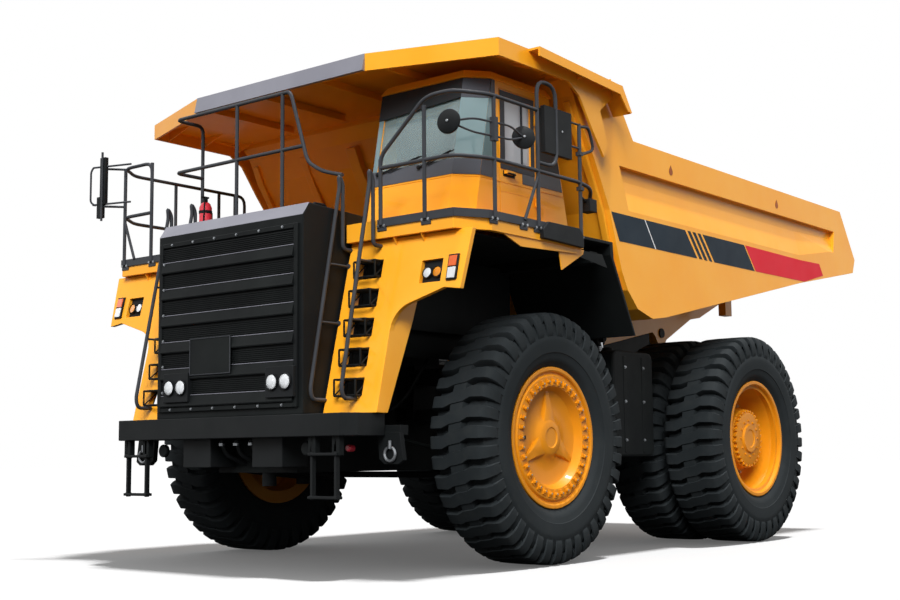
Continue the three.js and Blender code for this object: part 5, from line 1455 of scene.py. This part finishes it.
@dataclass
class Cab:
    """The cab: shell, roof, door, glass, bands round the windows, wipers and what shows inside."""

    inner: float = 1.07
    outer: float = 2.37
    corner: float = 0.19
    front: float = -1.50
    back: float = 0.42
    front_lean: float = 0.195
    back_lean: float = -0.235
    height: float = 1.515
    glass_low: float = 0.64
    pane_end: float = -0.93      # rear end of the glass that wraps round the corner
    band_low: float = 0.47
    # The dark band over the windscreen is partly a visor and partly painted shade: its lower edge drops
    # towards its right end, as the canopy's shadow and reflection do.
    visor_shade_left: float = 1.30     # lower edge of the visor at its left end, above the deck
    visor_shade_right: float = 1.22
    lift: float = 0.0005         # gap that keeps a thin panel clear of the shell

    def plan(self, level: float, out: float) -> list[Vector]:
        """The shell's outline at a level above the deck.

        Args:
            level: Height above the deck.
            out: How far the outline is moved outwards.

        Returns:
            Corners from the front right one, seen from above.
        """
        front = self.front + self.front_lean * level - out
        back = self.back + self.back_lean * level + out
        z = DECK_TOP + level
        return [at(self.inner - out, front, z), at(self.outer - self.corner + out * 0.5, front, z),
                at(self.outer + out, front + self.corner + 0.03 - out * 0.4, z),
                at(self.outer + out, back, z),
                at(self.inner - out, back, z)]

    def build(self) -> None:
        """Makes the whole cab."""
        dress(YELLOW, 0.010, "cab_shell", "cab_roof", "cab_door")
        dress(GLAZING, 0.0, "windscreen", "right_glass", "rear_glass")
        # The door's glass is opaque: its pale colour is a painted reflection of the sky.
        dress(DOOR_PANE, 0.0, "door_glass")
        self.bands()
        self.corner_glass()
        self.door_trim()
        self.wipers()
        self.inside()

    def strip(self, shape: Shape, low: float, high: float, first: int, last: int,
              proud: float = 0.006) -> None:
        """Adds a thin panel on the shell between two levels.

        Args:
            shape: Shape that gets the panel.
            low: Lower level above the deck.
            high: Upper level.
            first: Corner of the plan where the panel starts.
            last: Corner where it ends.
            proud: How far it stands out of the shell.
        """
        for k in range(first, last):
            rings = []
            for out in (self.lift, proud):
                bottom, top = self.plan(low, out), self.plan(high, out)
                rings.append([bottom[k], bottom[k + 1], top[k + 1], top[k]])
            shape.loft(rings)

    def bands(self) -> None:
        """Grey bands under the glass, the dark rear quarter and the seams."""
        band = Shape()
        band_high = self.glass_low - 0.002
        self.strip(band, self.band_low, band_high, 0, 2)
        side = Shape()
        x, start = self.outer + 0.001, -0.20
        rear = [self.back + self.back_lean * level - 0.02 for level in (0.50, 0.66, 1.38)]
        for shape, outline in (
                (side, ((start, 0.66), (rear[1], 0.66), (rear[2], 1.38), (start, 1.38))),
                (band, ((start, 0.50), (rear[0], 0.50), (rear[1], 0.655), (start, 0.655)))):
            shape.prism([at(x, y, DECK_TOP + level) for y, level in outline], vec(0.006, 0, 0))
        self.around(band, self.band_low, band_high)
        band.piece("cab_window_bands", BAND, bevel=0.001)
        side.piece("cab_rear_quarter", VISOR, bevel=0.001)
        seam = Shape()
        for level in (0.02, 0.45):
            seam.tube(self.plan(level, 0.002)[:4], 0.004, 6, 0.02)
        seam.piece("cab_seams", YELLOW, smooth=50)

    def around(self, shape: Shape, low: float, high: float, proud: float = 0.006) -> None:
        """Adds a panel on the left wall, from the slanted corner to the end of the wrapped glass."""
        x = self.outer + 0.001
        corners = [(self.plan(level, 0.0)[2].y, DECK_TOP + level) for level in (low, high)]
        end = at(0, self.pane_end, 0).y
        outline = [corners[0], (end, corners[0][1]), (end, corners[1][1]), corners[1]]
        shape.prism([vec(x, y, z) for y, z in outline], vec(proud, 0, 0))

    def corner_glass(self) -> None:
        """Visor over the windscreen, deepened with painted shade of the canopy, and the glass that wraps
        round the slanted corner.
        """
        visor, panel, pane = Shape(), Shape(), Shape()
        top = self.height - 0.004
        rings = []
        seam = self.visor_shade_left - 0.002
        for out in (self.lift, 0.008):
            right, left = self.plan(self.visor_shade_right, out), self.plan(self.visor_shade_left, out)
            high = self.plan(top, out)
            rings.append([right[0], left[1], high[1], high[0]])
        visor.loft(rings)
        self.strip(panel, self.visor_shade_left, top, 1, 2, 0.008)
        self.around(panel, self.visor_shade_left, top, 0.008)
        self.strip(pane, self.glass_low, seam, 1, 2)
        self.around(pane, self.glass_low, seam)
        low, high = self.plan(self.glass_low, self.lift), self.plan(self.visor_shade_right, self.lift)
        edge = [low[0], low[0].lerp(low[1], 0.055), high[0].lerp(high[1], 0.055), high[0]]
        pane.prism(edge, vec(0, -0.005, 0))
        # The visor is a dark band, partly a visor and partly painted shade: the canopy's shadow and
        # reflection on the glass.
        visor.piece("cab_visor", VISOR, bevel=0.001)
        panel.piece("cab_corner_panel", BAND, bevel=0.001)
        pane.piece("cab_corner_panes", PANE)

    def door_trim(self) -> None:
        """Dark window frame and handle on the door."""
        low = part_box("cab_door")[0]
        glass_low, glass_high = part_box("door_glass")
        window = Shape()
        x0, x1 = self.outer + 0.0025, self.outer + 0.010
        wide = 0.060
        y0, y1, z0, z1 = glass_low.y, glass_high.y, glass_low.z, glass_high.z
        left, right = low.y + 0.004, y1 + wide
        for a, b, c, d in ((left, right, z1, z1 + wide), (left, right, z0 - wide, z0),
                           (left, y0, z0, z1), (y1, right, z0, z1)):
            window.box(vec(x0, a, c), vec(x1, b, d))
        window.box(vec(x0 - 0.02, (y0 + y1) / 2 + 0.08, z0), vec(x0, (y0 + y1) / 2 + 0.095, z1))
        window.piece("door_window_frame", RAIL, "cab_door", bevel=0.002)
        sill = Shape().box(vec(x0, right - 0.22, z0 - wide - 0.11), vec(x1 - 0.002, right, z0 - wide))
        sill.piece("door_window_band", BAND, "cab_door", bevel=0.002)
        handle = Shape()
        y, z = low.y + 0.05, z0 - wide - 0.045
        handle.box(vec(x0, y, z - 0.03), vec(x1, y + 0.20, z + 0.03))
        handle.tube([vec(x1, y + 0.02, z), vec(x1 + 0.03, y + 0.03, z), vec(x1 + 0.03, y + 0.17, z),
                     vec(x1, y + 0.18, z)], 0.012, 8, 0.02)
        handle.piece("door_handle", PLASTIC, "cab_door", bevel=0.003, smooth=40)
        seams = Shape()
        for offset in (0.30, 0.58):
            seams.box(vec(x0 - 0.001, left, z0 - offset), vec(x0 + 0.002, right, z0 - offset + 0.008))
        seams.piece("door_seams", YELLOW, "cab_door")

    def wipers(self) -> None:
        """Two wipers that lie along the bottom of the windscreen."""
        arms = Shape()
        for share, reach in ((0.10, 0.50), (0.60, 0.36)):
            low, high = self.plan(0.60, 0.02), self.plan(0.72, 0.03)
            start = low[0].lerp(low[1], share)
            end = high[0].lerp(high[1], min(share + reach, 0.98))
            arms.tube([start, end], 0.008, 8)
            arms.tube([start.lerp(end, 0.25) + vec(0, -0.004, -0.02), end + vec(0.05, -0.004, 0.0)], 0.006, 6)
            arms.disc(start, AHEAD, 0.022, 0.02, 12, 0.004)
        arms.piece("cab_wipers", PLASTIC, smooth=50)

    def inside(self) -> None:
        """Dashboard and seat, seen through the glass."""
        dress(PLASTIC, 0.008, "dashboard")
        x = middle("driver_seat").x
        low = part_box("driver_seat")[0].z
        base = Shape()
        base.turn([(0.0, 0.0), (0.0, 0.16), (0.05, 0.15), (0.10, 0.10), (0.34, 0.10), (0.37, 0.18),
                   (0.38, 0.0)],
                  at(x, -0.36, low), UP, 24)
        base.piece("seat_pedestal", PLASTIC, smooth=40)
        cushion = self.pad(at(x, -0.37, low + 0.44), vec(0.26, 0.25, 0.065), 0.0)
        cushion.piece("seat_cushion", CLOTH, smooth=80, replaces=["driver_seat"])
        back = self.pad(at(x, -0.08, low + 0.80), vec(0.24, 0.055, 0.33), 0.10)
        back.piece("seat_back", CLOTH, smooth=80)

    def pad(self, centre: Vector, half: Vector, lean: float) -> Shape:
        """A crowned cushion whose sides pull in between its corners.

        Args:
            centre: Its middle.
            half: Half its size along each axis.
            lean: How far its upper half leans back.

        Returns:
            The cushion.
        """
        shape = Shape()
        rows, columns = 16, 32
        rings = []
        for i in range(1, rows):
            phi = math.pi * i / rows
            ring_points = []
            for j in range(columns):
                theta = 2 * math.pi * j / columns
                unit = vec(math.sin(phi) * math.cos(theta), math.sin(phi) * math.sin(theta), math.cos(phi))
                soft = Vector([math.copysign(abs(c) ** 0.45, c) for c in unit])
                point = vec(soft.x * half.x, soft.y * half.y, soft.z * half.z)
                point.y += lean * point.z
                ring_points.append(centre + point)
            rings.append(ring_points)
        return shape.loft(rings)


# ------------------------------------------------------------------ dump body


@dataclass
class DumpBody:
    """The rock body: side stripe, front ribs, lifting holes, canopy strip and gussets under the wings."""

    half: float = 2.60
    belt_high: float = 3.88
    belt_low: float = 3.56
    lift: float = 0.0005         # gap that keeps the film clear of the side
    floor_line: tuple[tuple[float, float], ...] = ((2.11, 2.762), (5.92, 3.535), (7.85, 3.872))

    def build(self) -> None:
        """Makes everything on the body."""
        dress(YELLOW, 0.010, "body_tub", "canopy")
        dress(YELLOW, 0.006, "body_underframe")
        self.stripe()
        self.lifting_holes()
        self.canopy_strip()
        self.front_ribs()
        self.wing_gussets()
        self.floor_ribs()

    def slanted(self, shape: Shape, top: tuple[float, float], low: tuple[float, float], proud: float) -> None:
        """Adds a flat panel on the body's side between two heights with slanted ends.

        Args:
            shape: Shape that gets the panel.
            top: Front and rear ends of its upper edge.
            low: Front and rear ends of its lower edge.
            proud: How far it stands off the side.
        """
        corners = [(top[0], self.belt_high), (top[1], self.belt_high), (low[1], self.belt_low),
                   (low[0], self.belt_low)]
        self.panel(shape, corners, proud)

    def panel(self, shape: Shape, corners: Outline, proud: float) -> None:
        """Adds a thin sheet on the body's side."""
        shape.prism([at(self.half + self.lift, y, z) for y, z in corners], vec(proud, 0, 0))

    def stripe(self) -> None:
        """Blue-black, white and red film along the side."""
        dark, white, red = Shape(), Shape(), Shape()
        slant = 0.29
        self.slanted(dark, (0.93, 1.66), (1.09, 1.66 + slant * 0.8), 0.002)
        self.slanted(dark, (1.68, 2.62), (1.68 + slant * 0.8, 2.62 + slant), 0.002)
        self.slanted(white, (1.655, 1.675), (1.655 + slant * 0.8, 1.675 + slant * 0.8), 0.0022)
        for k in range(3):
            start = 2.68 + 0.13 * k
            self.slanted(dark, (start, start + 0.075), (start + slant, start + 0.075 + slant), 0.002)
        self.slanted(dark, (3.07, 4.20), (3.07 + slant, 4.20 + slant), 0.002)
        self.panel(red, [(4.235, self.belt_high), (5.95, self.belt_high - 0.012), (6.60, 3.88), (6.72, 3.72),
                         (6.06, self.belt_low + 0.008), (4.235 + slant, self.belt_low)], 0.002)
        for shape, name, finish in ((dark, "stripe_dark", FILM_DARK), (white, "stripe_white", FILM_WHITE),
                                    (red, "stripe_red", FILM_RED)):
            shape.mirrored().piece(name, finish, "dump_body")

    def lifting_holes(self) -> None:
        """Dark eyes in the side rails."""
        shape = Shape()
        for y in (2.313, 5.244):
            self.panel(shape, arc((y, 4.56), 0.045, 150, 390, 16) + [(y, 4.64)], 0.002)
        shape.mirrored().piece("lifting_eyes", SHADE, "dump_body")

    def canopy_strip(self) -> None:
        """Grey strip on the straight part of the canopy's lip."""
        low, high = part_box("canopy")
        y = low.y - FRONT_AXLE.y
        outline = [(y - 0.050, high.z - 0.188), (y - 0.0005, high.z - 0.188), (y - 0.0005, high.z),
                   (y - 0.006, high.z)]
        shape = Shape().prism([at(-1.33, py, pz) for py, pz in outline], vec(2.66, 0, 0))
        shape.piece("canopy_front_strip", SILVER, "dump_body", bevel=0.003)

    def front_ribs(self) -> None:
        """Box ribs that run down the front wall."""
        path = [(0.24, 5.04), (0.36, 4.80), (0.59, 4.44), (0.89, 3.90), (1.05, 3.40), (1.12, 3.22),
                (1.24, 3.01)]
        shape = Shape()
        for x, depth, wide in ((0.0, 0.10, 0.16), (0.72, 0.10, 0.16), (2.50, 0.05, 0.08), (1.62, 0.04, 0.10)):
            outer = [(y - depth * 0.85, z - depth * 0.5) for y, z in path]
            outline = path + outer[::-1]
            for place in ({x, -x}):
                shape.prism([at(place - wide / 2, y, z) for y, z in outline], vec(wide, 0, 0))
        shape.piece("body_front_ribs", YELLOW, "dump_body", bevel=0.006)

    def wing_gussets(self) -> None:
        """Small triangular plates under the canopy and its wings."""
        shape = Shape()
        roof = 5.30
        for y in (-1.10, -0.55, 0.0, 0.5):
            shape.prism([at(2.30, y, roof), at(2.69, y, roof), at(2.69, y, roof - 0.13)], vec(0, 0.014, 0))
        for y in (0.10, 0.60):
            shape.prism([at(2.72, y, 5.20), at(2.84, y, 5.24), at(2.84, y, roof), at(2.72, y, roof)],
                        vec(0, 0.012, 0))
        for x in (0.45, 1.35):
            shape.box(at(x, -1.70, roof - 0.08), at(x + 0.05, -0.2, roof))
        shape.mirrored().piece("canopy_gussets", YELLOW, "dump_body", bevel=0.002)

    def floor_height(self, y: float) -> float:
        """Height of the floor's underside, whose slope changes near the tail."""
        start, bend, tail = self.floor_line
        (y0, z0), (y1, z1) = (bend, tail) if y > bend[0] else (start, bend)
        return z0 + (y - y0) / (y1 - y0) * (z1 - z0)

    def floor_ribs(self) -> None:
        """Cross ribs under the floor."""
        shape = Shape()
        for k in range(5):
            y = 2.9 + 0.85 * k
            z = self.floor_height(y)
            for side in SIDES:
                x0, x1 = sorted((side * 0.66, side * 2.1))
                shape.prism([at(x0, y, z - 0.10), at(x1, y, z - 0.04), at(x1, y, z + 0.01),
                             at(x0, y, z + 0.01)],
                            vec(0, 0.09, 0))
        shape.piece("body_floor_ribs", YELLOW, "dump_body", bevel=0.004)


# ------------------------------------------------------------------ running gear and hoist


@dataclass
class Chassis:
    """Frame, axles, steering, tanks and the small things hung between the rails."""

    def build(self) -> None:
        """Dresses the running gear and adds its details."""
        dress(BLACK, 0.008, "main_frame")
        dress(CAST, 0.010, "power_unit", "rear_axle", "knuckle_left", "knuckle_right")
        dress(CAST, 0.004, "tie_rod")
        dress(BLACK, 0.030, "tank_left", "tank_right")
        self.extinguisher()
        self.tank_trim()
        self.shaft()
        self.engine_bay()

    def extinguisher(self) -> None:
        """Bottle on its post, with two straps and the valve."""
        place = (-1.43, -1.56)
        base = at(*place, DECK_TOP + 0.17)
        foot = at(*place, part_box("fire_extinguisher")[0].z)
        tall, radius = 0.45, 0.075
        bottle = Shape().turn([(0.008, 0.0), (0.0, 0.045), (0.012, radius), (tall - 0.07, radius),
                               (tall - 0.02, 0.055),
                               (tall, 0.028), (tall, 0.0)], base, UP, 32)
        bottle.piece("extinguisher_bottle", RED, smooth=50, replaces=["fire_extinguisher"])
        fittings = Shape()
        for level in (0.10, 0.31):
            fittings.turn([(level, 0.0), (level, radius + 0.004), (level + 0.035, radius + 0.004),
                           (level + 0.035, 0.0)], base, UP, 32)
        fittings.disc(base + UP * tall, UP, 0.026, 0.05, 16, 0.004)
        fittings.box(base + vec(-0.018, -0.06, tall + 0.045), base + vec(0.018, 0.04, tall + 0.065))
        fittings.tube([base + UP * (tall + 0.03), base + vec(0.05, -0.06, tall),
                       base + vec(0.06, -0.085, 0.12)], 0.009, 8, 0.05)
        fittings.box(foot + vec(-0.02, 0.076, 0), foot + vec(0.02, 0.095, 0.50))
        fittings.box(foot + vec(-0.06, -0.02, 0), foot + vec(0.06, 0.095, 0.16))
        fittings.piece("extinguisher_fittings", PLASTIC, bevel=0.003, smooth=40)

    def tank_trim(self) -> None:
        """Bolted straps on the tanks."""
        straps, bolts = Shape(), Shape()
        low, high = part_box("tank_left")
        face = high.x + 0.006
        for y in (low.y + 0.25, high.y - 0.25):
            straps.box(vec(high.x - 0.06, y - 0.03, low.z + 0.05), vec(face, y + 0.03, high.z - 0.12))
            for z in (low.z + 0.2, (low.z + high.z) / 2, high.z - 0.25):
                bolts.hexagon(vec(face, y, z), LEFT, 0.016, 0.014)
        straps.mirrored().piece("tank_straps", BLACK, bevel=0.004)
        bolts.mirrored().piece("tank_bolts", ZINC)

    def shaft(self) -> None:
        """Drive shaft to the rear axle, with its joints."""
        shape = Shape()
        start, end = at(0, 1.85, 1.45), at(0, WHEELBASE - 0.46, 1.34)
        way = (end - start).normalized()
        shape.tube([start, end], 0.075, 20)
        for place in (start + way * 0.02, end - way * 0.16):
            shape.disc(place, way, 0.13, 0.05, 24, 0.008)
            shape.disc(place + way * 0.08, way, 0.11, 0.06, 24, 0.01)
        shape.piece("drive_shaft", CAST, smooth=40)

    def engine_bay(self) -> None:
        """Air duct, pipes and a side cover that show beside the radiator."""
        shape = Shape()
        for side in SIDES:
            for radius, sides, path in (
                    (0.07, 16,
                     ((0.72, -1.20, 2.60), (0.95, -1.20, 2.70), (0.98, -0.40, 2.70), (0.80, 0.30, 2.55))),
                    (0.022, 10, ((0.66, -0.9, 1.55), (0.90, -0.7, 1.75), (1.0, -0.35, 2.30))),
                    (0.02, 10, ((0.66, -1.3, 1.45), (1.05, -1.0, 1.35), (1.15, -0.25, 1.20)))):
                shape.tube([at(side * x, y, z) for x, y, z in path], radius, sides, 0.20)
            shape.box(at(side * 0.62, -1.45, 1.45), at(side * 0.70, -0.60, 2.30))
        shape.piece("engine_pipes", BLACK, bevel=0.004, smooth=50)


@dataclass
class Hoist:
    """Two-stage cylinders that raise the body."""

    foot: tuple[float, float] = (3.60, 1.10)
    head: tuple[float, float] = (3.33, 2.70)
    x: float = 0.835
    barrel: float = 0.13
    lip: float = 0.138           # ring at the barrel's upper end
    stage: float = 0.098
    stage_bore: float = 0.074
    rod: float = 0.068
    eye_radius: float = 0.115
    eye_half: float = 0.065      # half the width of an eye

    def build(self) -> None:
        """Makes both cylinders with round barrels and polished rods."""
        start, end = at(0, *self.foot), at(0, *self.head)
        way, length = (end - start).normalized(), (end - start).length
        for side in SIDES:
            name, axis = side_name(side), LEFT * side
            base = start + axis * self.x
            head = base + way * length
            for part, suffix, finish, sides, profile in self.parts(length):
                body = f"hoist_{part}_{name}"
                shape = Shape().turn(profile, base, way, sides)
                if part == "barrel":
                    self.eye(shape, base, axis, 0.0605)
                shape.piece(f"{body}_{suffix}", finish, body, replaces=[body])
            top = Shape()
            self.eye(top, head, axis, 0.052)
            top.tube([head - axis * 0.12, head + axis * 0.12], 0.05, 20)
            top.piece(f"hoist_rod_{name}_eye", CAST, f"hoist_rod_{name}")

    def parts(self, length: float) -> tuple[tuple[str, str, Finish, int, Outline], ...]:
        """The turned parts of one cylinder.

        Args:
            length: Distance between the cylinder's two eyes.

        Returns:
            For each part its body's name, the piece's suffix, its finish, the steps round it and its outline.
        """
        lift = length - 0.20
        collar, stage_top, rod_top = lift - 0.03, lift + 0.030, length - 0.06
        return (
            ("barrel", "body", CAST, 40, [
                (0.15, 0.0), (0.10, 0.115), (0.11, self.barrel), (collar, self.barrel), (collar, self.lip),
                (lift, self.lip), (lift, 0.105), (0.16, 0.105), (0.16, 0.0)]),
            ("stage", "tube", CHROME, 40, [
                (0.17, 0.0), (0.17, self.stage), (lift + 0.025, self.stage), (stage_top, self.stage - 0.004),
                (stage_top, self.stage_bore), (0.20, self.stage_bore), (0.20, 0.0)]),
            ("rod", "bar", CHROME, 32, [(0.21, 0.0), (0.21, self.rod), (rod_top, self.rod), (rod_top, 0.0)]),
        )

    def eye(self, shape: Shape, centre: Vector, axis: Vector, bore: float) -> None:
        """Adds a ring with a bore that a pin passes through.

        Args:
            shape: Shape that gets the ring.
            centre: Middle of the ring.
            axis: Direction of its bore.
            bore: Radius of the bore.
        """
        half, radius = self.eye_half, self.eye_radius
        shape.turn([(-half, bore), (-half, radius - 0.008), (-half + 0.008, radius), (half - 0.008, radius),
                    (half, radius - 0.008), (half, bore)], centre, axis, 36)


# ------------------------------------------------------------------ studio


@dataclass
class Studio:
    """Pale floor, soft light and the camera."""

    eye: tuple[float, float, float] = (10.428, -11.644, 1.172)
    yaw: float = 39.01
    pitch: float = 6.67
    roll: float = -0.59
    lens: float = 52.77
    world_light: float = 0.28
    gloss_light: float = 0.85
    key_power: float = 2.6
    fill_power: float = 4.2

    def build(self) -> None:
        """Makes floor, world, lights and camera."""
        bpy.context.scene.view_settings.view_transform = "Standard"
        self.floor()
        self.world()
        self.lights()
        self.camera()

    def seen(self, tree: bpy.types.NodeTree) -> bpy.types.NodeSocket:
        """1 for a ray that comes from the camera or through glass, and 0 for any other."""
        rays = add_node(tree, "ShaderNodeLightPath").outputs
        return add_node(tree, "ShaderNodeMath", {0: rays["Is Camera Ray"], 1: rays["Is Transmission Ray"]},
                        operation="MAXIMUM").outputs[0]

    def floor(self) -> None:
        """A wide pale floor that keeps the truck's shadow and looks white where it is lit."""
        size = 120.0
        shape = Shape().prism([vec(-size, -size, 0), vec(size, -size, 0), vec(size, size, 0),
                               vec(-size, size, 0)], vec(0, 0, -0.02))
        floor = bpy.data.objects.new("floor", shape.mesh_data("floor", 35))
        bpy.context.scene.collection.objects.link(floor)
        material = bpy.data.materials.new("pale_floor")
        material.use_nodes = True
        tree = material.node_tree
        tree.nodes.clear()
        share = self.seen(tree)
        colour = add_node(tree, "ShaderNodeMix", {0: share, 6: linear("646464"), 7: linear("f4f4f4")},
                          data_type="RGBA").outputs[2]
        diffuse = add_node(tree, "ShaderNodeBsdfDiffuse", {"Color": colour}).outputs[0]
        strength = add_node(tree, "ShaderNodeMath", {0: share, 1: 0.10}, operation="MULTIPLY").outputs[0]
        glow = add_node(tree, "ShaderNodeEmission", {"Color": (1, 1, 1, 1), "Strength": strength}).outputs[0]
        both = add_node(tree, "ShaderNodeAddShader", {0: diffuse, 1: glow}).outputs[0]
        add_node(tree, "ShaderNodeOutputMaterial", {"Surface": both})
        floor.data.materials.append(material)

    def world(self) -> None:
        """Even light from all round, which looks plain white."""
        world = bpy.data.worlds.new("studio")
        bpy.context.scene.world = world
        world.use_nodes = True
        tree = world.node_tree
        tree.nodes.clear()
        light, soft, white = (
            add_node(tree, "ShaderNodeBackground", {"Color": (1, 1, 1, 1), "Strength": strength}).outputs[0]
            for strength in (self.world_light, self.gloss_light, 1.0))
        glossy = add_node(tree, "ShaderNodeLightPath").outputs["Is Glossy Ray"]
        around = add_node(tree, "ShaderNodeMixShader", {0: glossy, 1: light, 2: soft}).outputs[0]
        share = self.seen(tree)
        mixed = add_node(tree, "ShaderNodeMixShader", {0: share, 1: around, 2: white}).outputs[0]
        add_node(tree, "ShaderNodeOutputWorld", {"Surface": mixed})

    def lights(self) -> None:
        """A key light almost overhead and a broad fill from the front left."""
        for name, way, power, spread in (("key", vec(0.15, 0.10, 1.0), self.key_power, 5.0),
                                         ("fill", vec(0.62, -1.0, 0.85), self.fill_power, 30.0)):
            data = bpy.data.lights.new(name, "SUN")
            data.energy = power
            data.angle = math.radians(spread)
            lamp = bpy.data.objects.new(name, data)
            lamp.rotation_mode = "QUATERNION"
            lamp.rotation_quaternion = way.to_track_quat("Z", "Y")
            bpy.context.scene.collection.objects.link(lamp)
            if name == "fill":
                lamp.visible_glossy = False
                self.spare_floor(lamp)

    def spare_floor(self, lamp: bpy.types.Object) -> None:
        """Keeps a lamp's light off the floor, so that the truck's shadow stays even."""
        lit = bpy.data.collections.new("fill_receivers")
        lit.objects.link(bpy.data.objects["floor"])
        lamp.light_linking.receiver_collection = lit
        lit.collection_objects[0].light_linking.link_state = "EXCLUDE"

    def camera(self) -> None:
        """Camera a little above the ground, in front of the truck's left side."""
        data = bpy.data.cameras.new("camera")
        data.lens = self.lens
        data.sensor_width = 36.0
        data.clip_end = 400.0
        camera = bpy.data.objects.new("camera", data)
        yaw, pitch, roll = (math.radians(a) for a in (self.yaw, self.pitch, self.roll))
        forward = vec(-math.sin(yaw) * math.cos(pitch), math.cos(yaw) * math.cos(pitch), math.sin(pitch))
        right = forward.cross(UP).normalized()
        up = right.cross(forward)
        across = right * math.cos(roll) + up * math.sin(roll)
        above = up * math.cos(roll) - right * math.sin(roll)
        camera.matrix_world = basis(across, above, -forward, at(*self.eye))
        bpy.context.scene.collection.objects.link(camera)
        bpy.context.scene.camera = camera


def basis(x_axis: Vector, y_axis: Vector, z_axis: Vector, place: Vector) -> Any:
    """Matrix whose columns are three axes and a place."""
    rows = [[x_axis[i], y_axis[i], z_axis[i], place[i]] for i in range(3)]
    return Matrix(rows + [[0, 0, 0, 1]])


def main() -> None:
    """Builds the truck's looks, one sub-assembly after another."""
    logging.basicConfig(level=logging.INFO, format="%(name)s: %(message)s")
    assemblies = (Studio(), Wheels(), Chassis(), Hoist(), Bumper(), Grille(), Fenders(), Ladders(), Decks(),
                  Railings(), Cab(), DumpBody())
    for assembly in assemblies:
        assembly.build()
        LOG.info("%s done", type(assembly).__name__)


if __name__ == "__main__":
    main()
